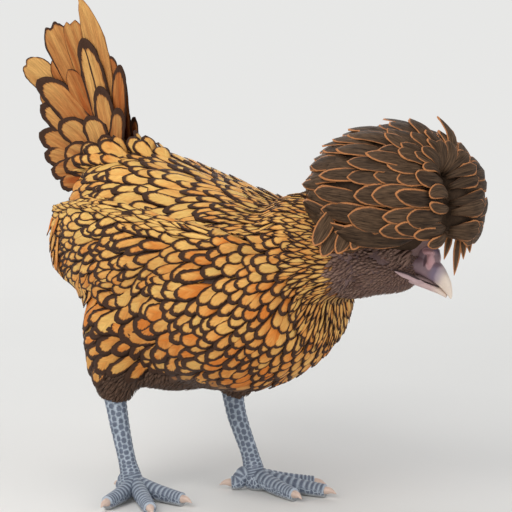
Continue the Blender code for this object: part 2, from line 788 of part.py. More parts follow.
def main():
    body = torso()
    neck_part = cut_clear(neck(), body)
    head_part = cut_clear(head(), neck_part)
    upper = cut_clear(upper_beak(), head_part)
    cut_clear(lower_beak(), head_part, upper)
    eyes = []
    for side, sign in (("right", -1), ("left", 1)):
        eyes.append(eye("eye_" + side, sign))
    cut_clear(head_part, *eyes)
    cut_clear(crest(), head_part, neck_part, upper, body, *eyes)
    tail_part = cut_clear(tail(), body)
    for side, sign in (("right", -1), ("left", 1)):
        cut_clear(wing("wing_" + side, sign), body, tail_part, neck_part)
        thigh_part = cut_clear(thigh("thigh_" + side, side), body)
        shank_part = cut_clear(shank("shank_" + side, side), thigh_part)
        foot_part = cut_clear(foot("foot_" + side, side), shank_part)
        for toe in TOE_LENGTHS:
            cut_clear(claw(f"claw_{side}_{toe}", side, toe), foot_part)
    seat()


def corners_of(obj):
    """The lowest and highest corner of a mesh that still lies in the bird's own frame."""
    points = np.array([v.co for v in obj.data.vertices])
    return np.array([points.min(0), points.max(0)])


def seat():
    """Puts every part under one empty, with its own origin in its middle. The empty stands on the
    floor, and the frame's origin comes under the middle of the whole bird."""
    parts = [o for o in bpy.context.scene.objects if o.type == "MESH"]
    corners = np.vstack([corners_of(obj) for obj in parts])
    under = 0.5 * (corners.min(0) + corners.max(0)) * [1, 1, 0]
    hen = bpy.data.objects.new("hen", None)
    hen.location = Vector(-under)
    bpy.context.scene.collection.objects.link(hen)
    for obj in parts:
        middle = Vector(corners_of(obj).mean(0))
        obj.data.transform(Matrix.Translation(-middle))
        obj.location = middle
        obj.parent = hen
        obj.data.shade_smooth()


main()
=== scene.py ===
# %% [markdown]
# # A golden laced polish hen, life size
#
# The hen stands with its head low and its tail raised. On the real bird everything that shows
# is a feather, a scale or horn, so this lesson grows a coat of mesh feathers over a smooth form.
# A particle system would be quicker to set up, but its hairs are lost in an export, and a laced
# feather needs its own outline. Each feather here is a small closed blade with a rounded tip.
#
# All shapes are worked out in millimetres in the bird's own frame (+X forward, +Y its left,
# +Z up) and go to metres when a mesh is made.

# %% Load the frame
import json

import bmesh
import bpy
import numpy as np
from mathutils import Matrix, Vector

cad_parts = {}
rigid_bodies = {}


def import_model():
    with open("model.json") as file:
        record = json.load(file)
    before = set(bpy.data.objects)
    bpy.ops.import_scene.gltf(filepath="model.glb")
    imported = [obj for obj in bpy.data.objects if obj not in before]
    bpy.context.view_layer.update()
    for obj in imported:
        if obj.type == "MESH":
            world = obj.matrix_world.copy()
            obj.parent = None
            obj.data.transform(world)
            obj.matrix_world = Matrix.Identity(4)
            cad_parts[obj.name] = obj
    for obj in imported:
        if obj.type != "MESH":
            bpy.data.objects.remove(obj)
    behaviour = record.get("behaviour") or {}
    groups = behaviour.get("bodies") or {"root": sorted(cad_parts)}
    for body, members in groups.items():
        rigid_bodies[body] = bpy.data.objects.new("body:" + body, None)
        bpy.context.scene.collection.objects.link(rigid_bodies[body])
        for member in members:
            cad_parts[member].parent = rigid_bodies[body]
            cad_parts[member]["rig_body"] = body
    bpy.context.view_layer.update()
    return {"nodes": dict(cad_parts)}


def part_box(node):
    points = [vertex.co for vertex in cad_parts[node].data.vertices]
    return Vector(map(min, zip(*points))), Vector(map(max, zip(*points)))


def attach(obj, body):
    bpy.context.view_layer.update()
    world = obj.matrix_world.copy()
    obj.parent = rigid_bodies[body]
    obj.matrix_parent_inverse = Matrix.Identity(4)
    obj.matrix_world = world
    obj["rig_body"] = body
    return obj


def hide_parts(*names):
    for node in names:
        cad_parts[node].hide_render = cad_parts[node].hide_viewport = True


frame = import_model()
# whatever the start-up file brought goes, and the CAD's bodies and nodes stay
for old in list(bpy.data.objects):
    if "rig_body" not in old and not old.name.startswith("body:"):
        bpy.data.objects.remove(old)

MM = 0.001
UP = np.array([0.0, 0.0, 1.0])
LEFT = np.array([0.0, 1.0, 0.0])
RUMP_BACK = 118.0
torso_low, torso_high = (np.array(corner) * 1000 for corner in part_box("torso"))
SHIFT = np.array([torso_low[0] + RUMP_BACK, 0.5 * (torso_low[1] + torso_high[1]), 0.0])
print(len(frame["nodes"]), "CAD nodes; the bird's own frame is moved by", SHIFT.round(2), "mm")

# %% [markdown]
# ## Curves, sections and meshes
#
# Trunk, neck, head and limbs are sections carried along a line. A loop over vertices could make them,
# but a spline through a few measured rows gives all sections at once and keeps the numbers readable.

# %% Curves and sections
def through(rows, count):
    """Points on the smooth curve through the rows, which is the Catmull-Rom cubic between two of them."""
    rows = np.asarray(rows, float)
    padded = np.vstack([2 * rows[0] - rows[1], rows, 2 * rows[-1] - rows[-2]])
    place = np.linspace(0, len(rows) - 1, count)
    step = np.minimum(place.astype(int), len(rows) - 2)
    t = (place - step)[:, None]
    a, b, c, d = (padded[step + shift] for shift in range(4))
    square, cube = 2 * a - 5 * b + 4 * c - d, 3 * b - a - 3 * c + d
    return 0.5 * (2 * b + (c - a) * t + square * t**2 + cube * t**3)


def unit(vectors):
    """The vectors with length one."""
    return vectors / (np.linalg.norm(vectors, axis=-1, keepdims=True) + 1e-12)


def ramp(low, high, value):
    """0 below low, 1 above high, and 3t²-2t³ between them."""
    t = np.clip((value - low) / (high - low), 0, 1)
    return t * t * (3 - 2 * t)


def outline(half_width, top, bottom, sides, power=2.0):
    """A closed superellipse: |across/half width|^p + |height/top or bottom|^p = 1, for each row."""
    turn = np.linspace(0, 2 * np.pi, sides, endpoint=False)
    wide, high = np.cos(turn), np.sin(turn)
    across = np.sign(wide) * np.abs(wide) ** (2 / power) * np.asarray(half_width)[:, None]
    reach = np.where(high > 0, np.asarray(top)[:, None], np.asarray(bottom)[:, None])
    return across, np.sign(high) * np.abs(high) ** (2 / power) * reach


def carried(spine, half_widths, tops, bottoms, sides, side=None, power=2.0):
    """Rings along a spine: place + across * side direction + height * the direction square to both."""
    spine = np.asarray(spine, float)
    forward = unit(np.gradient(spine, axis=0))
    across = np.cross(UP, forward) if side is None else side - forward * (forward @ side)[:, None]
    across = unit(across)
    upward = unit(np.cross(forward, across))
    out, high = outline(half_widths, tops, bottoms, sides, power)
    return spine[:, None] + out[..., None] * across[:, None] + high[..., None] * upward[:, None]


def ring_quads(rows, sides):
    """The quads between rows of rings, as corner numbers."""
    k, s = np.meshgrid(np.arange(rows - 1), np.arange(sides), indexing="ij")
    a, b = k * sides + s, k * sides + (s + 1) % sides
    return np.stack([a, b, b + sides, a + sides], -1).reshape(-1, 4)


print("five heights of a curve through 0, 1 and 0:", through([[0], [1], [0]], 5).ravel())

# %% Meshes
def mesh_object(name, points, faces, material=None, place=True):
    """An object from arrays of points and faces. A face row ends in -1 where it is a triangle."""
    mesh = bpy.data.meshes.new(name)
    points = (np.asarray(points, float).reshape(-1, 3) + (SHIFT if place else 0)) * MM
    faces = np.asarray(faces)
    used = faces >= 0
    mesh.vertices.add(len(points))
    mesh.vertices.foreach_set("co", points.ravel())
    mesh.loops.add(int(used.sum()))
    mesh.loops.foreach_set("vertex_index", faces[used])
    mesh.polygons.add(len(faces))
    mesh.polygons.foreach_set("loop_start", np.cumsum(used.sum(1)) - used.sum(1))
    mesh.update(calc_edges=True)
    mesh.shade_smooth()
    if material:
        mesh.materials.append(material)
    made = bpy.data.objects.new(name, mesh)
    bpy.context.scene.collection.objects.link(made)
    return made


def closed_rings(rings):
    """Points and faces of a solid whose skin passes through the rings, with a fan over each end."""
    rings = np.asarray(rings)
    count, sides = rings.shape[:2]
    points = np.vstack([rings.reshape(-1, 3), rings[0].mean(0), rings[-1].mean(0)])
    s = np.arange(sides)
    after = (s + 1) % sides
    none = np.full(sides, -1)
    start = np.stack([np.full(sides, count * sides), after, s, none], -1)
    last = (count - 1) * sides
    end = np.stack([np.full(sides, count * sides + 1), last + s, last + after, none], -1)
    faces = np.vstack([ring_quads(count, sides), start, end])
    return points, faces


def outwards(obj):
    """Turns every face outwards, as a shape may have been made inside out."""
    mesh = bmesh.new()
    mesh.from_mesh(obj.data)
    bmesh.ops.recalc_face_normals(mesh, faces=mesh.faces)
    mesh.to_mesh(obj.data)
    mesh.free()
    return obj


def joined(parts):
    """Points and faces of several (points, faces) as one."""
    base, points, faces = 0, [], []
    for p, f in parts:
        p, f = np.asarray(p).reshape(-1, 3), np.asarray(f)
        points.append(p)
        faces.append(np.where(f >= 0, f + base, -1))
        base += len(p)
    return np.vstack(points), np.vstack(faces)


def corners(obj):
    """An object's points in millimetres, in the bird's own frame."""
    found = np.empty(len(obj.data.vertices) * 3)
    obj.data.vertices.foreach_get("co", found)
    return found.reshape(-1, 3) / MM - SHIFT


def reshaped(obj, points):
    """Moves an object's points to new places in the bird's own frame."""
    obj.data.vertices.foreach_set("co", ((points + SHIFT) * MM).ravel())
    obj.data.update()


def with_values(obj, **values):
    """Gives the object's points named values for its material."""
    for name, value in values.items():
        layer = obj.data.attributes.new(name, "FLOAT", "POINT")
        layer.data.foreach_set("value", np.asarray(value, float))
    return obj


def modified(obj):
    """Puts the result of the object's modifiers in its mesh."""
    graph = bpy.context.evaluated_depsgraph_get()
    mesh = bpy.data.meshes.new_from_object(obj.evaluated_get(graph))
    obj.modifiers.clear()
    obj.data = mesh
    return obj


print("a tube of 3 rings with 8 sides has", len(closed_rings(np.zeros((3, 8, 3)))[1]), "faces")

# %% [markdown]
# ## The form under the coat
#
# Feathers lie on each other like tiles, so their tips follow one smooth outline, the union of trunk,
# neck, head, folded wings and thighs. A Boolean would leave seams. A voxel remesh leaves none, and a
# little smoothing rounds the joints, as a thick coat does.

# %% Sizes of the form
# all rows are in millimetres; trunk: x, half width, top and bottom; head: the same along its own
# axes, after a place and a height; wing: x, y, z, half thickness, reach above and below its line
HEAD_CENTRE = np.array([145.5, 27.0, 179.0])
HEAD_YAW, HEAD_PITCH = np.radians([11.0, 19.0])
TRUNK_ROWS = [
    (-118, 3, 200, 190), (-114, 22, 216, 170), (-104, 39, 229, 144), (-84, 53, 237, 112),
    (-52, 63, 239, 88), (-15, 67, 232, 78), (22, 68, 223, 77), (58, 65, 215, 82),
    (86, 56, 207, 97), (103, 42, 199, 113), (111, 25, 180, 130), (114, 3, 158, 150)]
HEAD_ROWS = [
    (-30, -2, 12, 12, 14), (-24, -4, 22, 21, 26), (-12, -3, 25, 25, 27), (0, -2, 25, 24, 24),
    (12, -1, 20.5, 21, 18), (20, 1, 15, 17, 12), (25, 2, 10, 13, 8), (27, 2, 5, 8, 5)]
WING_ROWS = [
    (88, 42, 183, 4, 8, 8), (74, 52, 183, 8, 15, 16), (38, 60, 182, 11, 22, 22),
    (0, 63, 181, 12, 28, 28), (-45, 62, 180, 11, 33, 34), (-80, 56, 177, 8, 30, 30),
    (-104, 51, 177, 4, 24, 20)]
# the wing's sections from the rear forwards, as interpolation needs them
WING_RUN = through(WING_ROWS, 49)[::-1]
TAIL_ROOT = np.array([-88.0, 0.0, 214.0])
FEET = {"right": np.array([-24.0, -46.0, 0.0]), "left": np.array([22.0, 30.0, 0.0])}
HOCK_BACK = {"right": 21.0, "left": 26.0}
HOCK_HEIGHT = 66.0

level = np.array([np.cos(HEAD_YAW), np.sin(HEAD_YAW), 0.0])
head_forward = level * np.cos(HEAD_PITCH) - UP * np.sin(HEAD_PITCH)
head_left = np.cross(UP, level)
HEAD_AXES = np.stack([head_forward, head_left, np.cross(head_forward, head_left)], -1)
CREST_TURN = np.stack([level, head_left, UP], -1)


def on_head(points):
    """Points given along the head's axes from its centre, as places in space."""
    return HEAD_CENTRE + np.asarray(points, float) @ HEAD_AXES.T


def head_place(p):
    """Points along the head's axes from its centre."""
    return (p - HEAD_CENTRE) @ HEAD_AXES


print("the trunk is", TRUNK_ROWS[-1][0] - TRUNK_ROWS[0][0], "mm long")

# %% The pieces of the form
def limb(rows, count, sides, side=None):
    """A solid along rows of place (x, y, z), half width, reach above and reach below the line."""
    run = through(rows, count)
    return closed_rings(carried(run[:, :3], run[:, 3], run[:, 4], run[:, 5], sides, side=side))


def trunk():
    """Upright superellipse sections from the rump to the breast."""
    x, half_width, top, bottom = through(TRUNK_ROWS, 61).T
    middle = 0.5 * (top + bottom)
    out, high = outline(np.maximum(half_width, 2.5), top - middle, middle - bottom, 48, 2.1)
    along = np.broadcast_to(x[:, None], out.shape)
    return closed_rings(np.stack([along, out, middle[:, None] + high], -1))


def neck():
    """A tapered tube from inside the breast to the back of the head."""
    rows = [(64, 0, 176, 32, 24, 28), (92, 3, 184, 40, 36, 38), (112, 9, 186, 36, 32, 38),
            (*on_head([-20, 0, -8]), 27, 26, 29), (*on_head([-6, 0, -4]), 21, 20, 22)]
    return limb(rows, 31, 36)


def skull():
    """The head's sections along the bill's direction."""
    run = through(HEAD_ROWS, 41)
    spine = on_head(np.stack([run[:, 0], 0 * run[:, 0], run[:, 1]], -1))
    return closed_rings(carried(spine, run[:, 2], run[:, 3], run[:, 4], 36, side=HEAD_AXES[:, 1]))


def folded_wing(side):
    """The wing as a flat pad, whose middle line and thickness come from its rows."""
    return limb(np.array(WING_ROWS) * [1, side, 1, 1, 1, 1], 41, 28)


def thigh(which):
    """The thigh from the flank to the hock."""
    x, y, _ = FEET[which]
    rows = [(x - 8, y * 0.5, 148, 20, 22, 22), (x - 12, y * 0.74, 128, 33, 35, 35),
            (x - 15, y * 0.9, 106, 30, 32, 32), (x - 19, y * 0.98, 86, 21, 22, 22),
            (x - HOCK_BACK[which] + 1, y, HOCK_HEIGHT, 11, 11, 11)]
    return limb(rows, 31, 32, LEFT)


def ellipsoid(centre, radii, turn, rings=24, sides=28):
    """Points centre + turn * (rx cos a, ry sin a cos b, rz sin a sin b)."""
    a = np.linspace(0.03, np.pi - 0.03, rings)[:, None]
    b = np.linspace(0, 2 * np.pi, sides, endpoint=False)[None]
    local = np.stack([np.cos(a) + 0 * b, np.sin(a) * np.cos(b), np.sin(a) * np.sin(b)], -1) * radii
    return closed_rings(centre + local @ turn.T)


def tail_base():
    """The mound of flesh that carries the tail, leaning back by 28 degrees."""
    lean = np.radians(28.0)
    up, back = [-np.sin(lean), 0, np.cos(lean)], [-np.cos(lean), 0, -np.sin(lean)]
    turn = np.stack([up, LEFT, back], -1)
    return ellipsoid(TAIL_ROOT + turn @ [12.0, 0, 0], [30.0, 12.0, 21.0], turn)


print("the tail's mound is", np.ptp(tail_base()[0][:, 2]).round(1), "mm high")

# %% One form from all of them
def as_one(parts, voxel, smoothing):
    """One closed skin round overlapping solids, by a voxel remesh and then a smoothing."""
    points, faces = joined(parts)
    made = outwards(mesh_object("form", points, faces))
    remesh = made.modifiers.new("one", "REMESH")
    remesh.mode = "VOXEL"
    remesh.voxel_size = voxel * MM
    remesh.use_smooth_shade = True
    soft = made.modifiers.new("soft", "SMOOTH")
    soft.factor = 0.5
    soft.iterations = smoothing
    return modified(made)


belly = ellipsoid(np.array([-24.0, -4.0, 89.0]), [42.0, 44.0, 17.5], np.eye(3))
flesh = [trunk(), neck(), skull(), folded_wing(1), folded_wing(-1), thigh("right"), thigh("left"),
         tail_base(), belly]
form = as_one(flesh, voxel=3.0, smoothing=6)
print("the form has", len(form.data.polygons), "faces")


# %% Lying things on the form
def normals_of(obj):
    """The direction out of the surface at each vertex."""
    found = np.empty(len(obj.data.vertices) * 3)
    obj.data.vertex_normals.foreach_get("vector", found)
    return found.reshape(-1, 3)


def wrapped(points, target):
    """The nearest places on a form and the smooth directions out of it there.

    The Shrinkwrap modifier does all points at once. A second pass that stays 1 mm above the
    surface gives the direction, as the difference of the two.
    """
    shape = points.shape
    found = []
    for above in (0.0, 1.0):
        helper = mesh_object("helper", points.reshape(-1, 3), np.zeros((0, 4), int))
        wrap = helper.modifiers.new("wrap", "SHRINKWRAP")
        wrap.target = target
        wrap.wrap_method = "NEAREST_SURFACEPOINT"
        wrap.wrap_mode = "ABOVE_SURFACE"
        wrap.offset = above * MM
        modified(helper)
        found.append(corners(helper))
        bpy.data.objects.remove(helper)
    return found[0].reshape(shape), unit(found[1] - found[0]).reshape(shape)


back_top, _ = wrapped(np.array([[0.0, 0.0, 300.0]]), form)
print("the form's back is", back_top[0, 2].round(1), "mm high")

# %% [markdown]
# ## One feather
#
# A contour feather is a flat vane with a shaft, and its tip is round on the body, drawn out on the
# hackles and blunt on the quills. Hair curves would be lost in an export, so each kind is a closed
# grid from root to tip, whose upper face carries the detail.

# %% The vane's grid
class Vane:
    """A kind of feather: rows of (place from root to tip, half width as a share), and its columns."""

    def __init__(self, rows, columns, aspect, tip=0.0):
        rows = np.array(rows, float)
        self.aspect, self.tip = aspect, tip
        places, shares = rows[:-1].T
        count, across = len(places), len(columns)
        u = np.tile(np.array(columns, float), count)
        self.u = np.concatenate([u, [0], np.zeros(count)])
        self.v = np.concatenate([np.repeat(places, across), [rows[-1, 0]], places])
        self.x = np.concatenate([u * np.repeat(shares, across), [0], np.zeros(count)])
        self.below = np.concatenate([np.zeros(count * across + 1), np.ones(count)])
        self.edge = self.edge_distance(rows, aspect)
        self.faces = self.blade_faces(count, across)

    def edge_distance(self, rows, aspect):
        """Each point's distance from the sides and tip, for a vane that is aspect half widths long."""
        v = np.linspace(rows[0, 0], rows[-1, 0], 160)
        half = np.interp(v, rows[:, 0], rows[:, 1])
        side = np.stack([np.concatenate([half, -half]), np.concatenate([v, v]) * aspect], -1)
        own = np.stack([self.x, self.v * aspect], -1)
        return np.linalg.norm(own[:, None] - side[None], axis=-1).min(1)

    def blade_faces(self, count, across):
        """Triangles of the upper grid, the lower two strips, the tip and the root's cap."""
        k, j = np.meshgrid(np.arange(count - 1), np.arange(across - 1), indexing="ij")
        a = (k * across + j).ravel()
        upper = np.concatenate([np.stack([a, a + 1, a + across + 1], -1),
                                np.stack([a, a + across + 1, a + across], -1)])
        tip, shaft = count * across, count * across + 1
        top = (count - 1) * across
        j = np.arange(across - 1)
        upper_tip = np.stack([top + j, top + j + 1, np.full(across - 1, tip)], -1)
        k = np.arange(count - 1)
        left, right, low = k * across, k * across + across - 1, shaft + k
        lower = np.concatenate([
            np.stack([left, left + across, low + 1], -1), np.stack([left, low + 1, low], -1),
            np.stack([low, low + 1, right + across], -1), np.stack([low, right + across, right], -1)])
        last = shaft + count - 1
        lower_tip = np.array([[top, tip, last], [last, tip, top + across - 1]])
        cap = np.stack([j + 1, j, np.full(across - 1, shaft)], -1)
        return np.concatenate([upper, upper_tip, lower, lower_tip, cap])


def round_vane(places, columns, aspect, tip, root=0.34, opened=0.62):
    """A vane that opens from the root and ends in a half ellipse that is tip half widths long."""
    v = np.array(places)
    opening = root + (1 - root) * ramp(0, opened, v)
    left = np.clip(1 - (1 - v) * aspect / tip, 0, 1)
    return Vane(np.stack([v, opening * np.sqrt(1 - left**2)], -1), columns, aspect, tip)


FIVE = (-1, -0.6, 0, 0.6, 1)
BODY_ASPECT, BODY_TIP = 4.6, 1.45
CONTOUR = round_vane([0, 0.30, 0.50, 0.66, 0.77, 0.85, 0.91, 0.955, 0.985, 1], FIVE, BODY_ASPECT, BODY_TIP)
SMALL = round_vane([0, 0.36, 0.60, 0.75, 0.86, 0.93, 0.975, 1], FIVE, BODY_ASPECT, BODY_TIP)
HACKLE = Vane([(0, 0.42), (0.25, 0.75), (0.45, 0.95), (0.62, 1.0), (0.76, 0.84), (0.88, 0.52),
               (0.96, 0.22), (1, 0)], FIVE, 8.0)
TUFT = Vane([(0, 0.5), (0.35, 1.0), (0.72, 0.66), (1, 0)], (-1, 0, 1), 5.0)
print("a contour feather has", len(CONTOUR.faces), "triangles and a tuft", len(TUFT.faces))


# %% A coat piece
VANE_VALUES = ("edge", "aside", "ahead", "half", "lace", "tone", "warm", "fade", "shaft")
# the millimetres that the map named Vane stands for, and a tip so far ahead that it gives no rim
MAP_WIDTH, MAP_LENGTH, FAR_AHEAD = 40.0, 160.0, 9.0
pieces = {}


def keep_piece(made):
    """Adds a piece to the hen under its own name."""
    pieces[made.name] = made
    print(f"{made.name}: {len(made.data.polygons)} faces")


def spread(value, shape):
    """One number, N values or (N, V) values, as (N, V) values."""
    return np.broadcast_to(value if np.ndim(value) == 2 else np.reshape(value, (-1, 1)), shape)


class Coat:
    """Gathers feathers, with what their material and their bake need, until they become one mesh."""

    def __init__(self):
        self.points, self.faces, self.uv, self.bake = [], [], [], []
        self.values = {name: [] for name in VANE_VALUES}
        self.base = 0

    def add(self, vane, points, half_width, length, place, patch, **values):
        """Adds N feathers with (N, V, 3) points, at places on the bake's map with patches of a size."""
        shape = count, each = points.shape[:2]
        self.points.append(points.reshape(-1, 3))
        offset = self.base + np.arange(count)[:, None, None] * each
        self.faces.append((vane.faces[None] + offset).reshape(-1, 3))
        self.base += count * each
        half, long = spread(half_width, shape), spread(length, shape)
        across, along = vane.x * half / MAP_WIDTH + 0.5, vane.v * long / MAP_LENGTH
        self.uv.append(np.stack([across, along], -1).reshape(-1, 2))
        local = np.stack([vane.u * 0.5, vane.v - 0.5], -1) * patch
        self.bake.append((np.asarray(place)[:, None] + local[None]).reshape(-1, 2))
        drawn = vane.tip > 0
        ahead = (1 - vane.v) * vane.aspect / vane.tip if drawn else FAR_AHEAD
        found = {name: spread(values.get(name, 0.0), shape) for name in VANE_VALUES}
        found["edge"] = vane.edge * half * (not drawn)
        found["aside"], found["ahead"] = vane.x * drawn + 0 * half, ahead + 0 * half
        found["half"] = half * drawn
        found["lace"] = found["lace"] * (0.80 + 0.40 * vane.v**6)
        for name, value in found.items():
            self.values[name].append(value.ravel())

    def make(self, name, material):
        """Makes the gathered feathers one piece."""
        points, faces = np.vstack(self.points), np.vstack(self.faces)
        made = mesh_object(name, points, faces, material)
        corner = faces.ravel()
        for layer, values in (("OFBake", self.bake), ("Vane", self.uv)):
            uv = made.data.uv_layers.new(name=layer)
            uv.data.foreach_set("uv", np.vstack(values)[corner].ravel())
        with_values(made, **{layer: np.concatenate(values) for layer, values in self.values.items()})
        keep_piece(made)


def one_coat(name, material, *feathers, **values):
    """Makes a piece of one kind of feather, given as for Coat.add."""
    coat = Coat()
    coat.add(*feathers, **values)
    coat.make(name, material)


print("each point of a feather carries", len(VANE_VALUES), "values for its material")

# %% Feathers that lie on the form
def along_form(lie, outward):
    """The part of each lie that runs along the form, with length one."""
    return unit(lie - outward * (lie * outward).sum(-1, keepdims=True))


def turned_aside(lie, outward, slope):
    """Each lie with a share of slope of the direction square to it on the form."""
    return unit(lie + np.cross(outward, lie) * slope[:, None])


def laid(vane, roots, outward, lie, half_width, length, lift, chance, target, camber, thick=0.3, roll=0.22):
    """Points of feathers laid on a form.

    A feather's flat point root + lie * v * length + across * x * half width is carried to the
    nearest place on the form, then raised there. It comes up out of the coat as 3(1-v)^1.3 and
    ends at its own lift, its edges droop by camber * u², and its shaft is thickest.
    """
    lie = along_form(lie, outward)
    across = np.cross(lie, outward)
    half, long = np.reshape(half_width, (-1, 1)), np.reshape(length, (-1, 1))
    ragged = 1 + 0.05 * chance.standard_normal((len(roots), len(vane.x))) * (np.abs(vane.u) > 0.9)
    flat = (roots[:, None] + lie[:, None] * (vane.v * long)[..., None]
            + across[:, None] * (vane.x * ragged * half)[..., None])
    ground, out = wrapped(flat, target)
    height = np.reshape(lift, (-1, 1)) - 3.0 * (1 - vane.v) ** 1.3 - camber * vane.u**2
    tilt = chance.normal(0, roll, (len(roots), 1))
    height = height + thick * (1 - np.abs(vane.u)) * (0.5 - vane.below) + tilt * vane.u * vane.v
    return ground + out * height[..., None]


def drift(p, seed, wavelength):
    """A smooth random value from about -1 to 1 at each place: the mean of six plane waves."""
    chance = np.random.default_rng(seed)
    ways = unit(chance.standard_normal((6, 3))) * 2 * np.pi / wavelength * chance.uniform(0.6, 1.5, (6, 1))
    return np.sin(p @ ways.T + chance.uniform(0, 2 * np.pi, 6)).mean(1) * 1.7


print("the drift at the head's centre is", drift(HEAD_CENTRE[None], 5, 20.0).round(2))

# %% Roots spread over the form
def random_places(target, density, chance):
    """Places at random on a form, so many per square millimetre, by two numbers for each triangle."""
    mesh = target.data
    mesh.calc_loop_triangles()
    tri = np.empty(len(mesh.loop_triangles) * 3, int)
    mesh.loop_triangles.foreach_get("vertices", tri)
    tri = corners(target)[tri.reshape(-1, 3)]
    area = 0.5 * np.linalg.norm(np.cross(tri[:, 1] - tri[:, 0], tri[:, 2] - tri[:, 0]), axis=1)
    count = int(area.sum() * density)
    picked = chance.choice(len(tri), count, p=area / area.sum())
    a, b = np.sqrt(chance.random(count)), chance.random(count)
    return ((1 - a)[:, None] * tri[picked, 0] + (a * (1 - b))[:, None] * tri[picked, 1]
            + (a * b)[:, None] * tri[picked, 2])


def scattered(target, keep, lie_at, spacing, seed, density):
    """Roots spread over a form, no two nearer than their spacing along and across the lie.

    Random places are taken in order from the head backwards, which packs them in offset rows. A
    place is too near a taken one where (along / its spacing)² + (across / its spacing)² < 1.
    """
    chance = np.random.default_rng(seed)
    places, outward = wrapped(random_places(target, density, chance), target)
    kept = keep(places, outward)
    places, outward = places[kept], outward[kept]
    lie = along_form(lie_at(places, outward), outward)
    across = np.cross(lie, outward)
    along_step, across_step = spacing(places)
    order = np.argsort(-places[:, 0] + chance.uniform(0, 2.0, len(places)))
    cell = max(along_step.max(), across_step.max())
    taken, chosen = {}, []
    for i in order:
        key = tuple((places[i] // cell).astype(int))
        near = [n for dx in (-1, 0, 1) for dy in (-1, 0, 1) for dz in (-1, 0, 1)
                for n in taken.get((key[0] + dx, key[1] + dy, key[2] + dz), ())]
        if near:
            gap = places[near] - places[i]
            apart = (gap @ lie[i] / along_step[i]) ** 2 + (gap @ across[i] / across_step[i]) ** 2
            if apart.min() < 1.0:
                continue
        taken.setdefault(key, []).append(i)
        chosen.append(i)
    return places[chosen], outward[chosen], lie[chosen], chance


print(len(random_places(form, 0.01, np.random.default_rng(1))), "places at one a square centimetre")

# %% [markdown]
# ## The lie and the regions of the coat
#
# On the real bird the feathers run from the face over neck and shoulders to the tail, and gravity
# turns the lower ones down. They could be combed by hand, but one rule gives that everywhere: away
# from the back of the head, plus a share of straight down that grows towards the belly.

# %% Lie
def lie_at(p, outward):
    """The direction away from the nape, with more of straight down on the breast, thighs and rear."""
    x, _, z = p.T
    down = 0.10 * ramp(180, 140, z) + 0.25 * ramp(60, 95, x) * ramp(185, 150, z)
    down += 0.14 * ramp(125, 95, z) * ramp(60, 30, x)
    down += 0.32 * ramp(108, 90, z) * (x < 60)
    down += 0.7 * ramp(-92, -112, x) * ramp(225, 190, z)
    away = unit(p - on_head([-12, 0, 4]))
    away[:, 2] -= down
    wing = on_wing(p)
    back = np.stack([-np.ones(len(p)), np.zeros(len(p)), -0.08 - 0.46 * ramp(208, 148, z)], -1)
    lie = away * (1 - wing[:, None]) + back * wing[:, None]
    return lie + np.cross(outward, unit(lie)) * (0.22 * drift(p, 21, 42.0))[:, None]


def on_wing(p):
    """1 on the folded wing and 0 off it, with a soft border."""
    x, y, z = p.T
    side, height, _, top, bottom = (np.interp(x, WING_RUN[:, 0], WING_RUN[:, k]) for k in range(1, 6))
    level = (z - height) / np.where(z > height, top, bottom)
    inside = ramp(1.02, 0.90, np.abs(level)) * ramp(-112, -104, x) * ramp(78, 60, x)
    return inside * (np.abs(y) > side - 12)


print("the lie on the back:", unit(lie_at(back_top, UP[None])).round(2))

# %% Regions
def face_share(p):
    """1 on the bearded face, 0 on the neck."""
    return ramp(-24, -14, head_place(p)[:, 0]) * (np.linalg.norm(p - HEAD_CENTRE, axis=1) < 45)


def hackle_share(p):
    """1 on the upper side of the neck and round the cheeks, where long narrow feathers lie."""
    x, _, z = p.T
    upper = ramp(50, 62, x) * ramp(190, 202, z + 3 * drift(p, 5, 20.0))
    ahead = head_place(p)[:, 0] + 3 * drift(p, 15, 18.0)
    ruff = ramp(-46, -38, ahead) * (np.linalg.norm(p - HEAD_CENTRE, axis=1) < 66)
    return np.maximum(upper, ruff)


def fluff_share(p, outward):
    """1 on the thighs, the belly and the rear, where the coat is plain brown down."""
    x, _, z = p.T
    edge = 3.5 * drift(p, 6, 26.0)
    low = ramp(96, 89, z + edge) * ramp(74, 40, x)
    under = ramp(-0.74, -0.88, outward[:, 2]) * ramp(74, 40, x) * ramp(112, 104, z)
    rear = ramp(-96, -108, x) * ramp(150, 130, z + edge)
    back = ramp(0.5, 0.8, -outward[:, 0]) * ramp(136, 112, z + 2 * edge)
    return np.maximum.reduce([low, under, rear, back])


def body_place(p):
    """A place's angle round the trunk's line and its length along it, as a place on the bake's map."""
    turn = np.arctan2(p[:, 1], 160.0 - p[:, 2]) / (2 * np.pi) + 0.5
    return np.stack([0.02 + 0.96 * turn, 0.02 + 0.96 * np.clip((p[:, 0] + 125) / 300, 0, 1)], -1)


print("the back's middle lies at", body_place(back_top).round(2), "on the map")

# %% [markdown]
# ## Materials of the coat
#
# A laced feather is gold inside a dark rim that follows its edge, with barbs that leave the shaft at
# an angle. An image could show that, but each point knows its distance from the edge in millimetres,
# so the rim is as wide on any feather. One node group makes all of it, with other colours for the
# crest, whose feathers are dark inside a thin golden rim.

# %% Node helpers
def linear(red, green, blue):
    """A colour given as 0 to 255 display values, as the linear values that shaders take."""
    value = np.array([red, green, blue]) / 255.0
    return (*np.where(value < 0.04045, value / 12.92, ((value + 0.055) / 1.055) ** 2.4), 1.0)


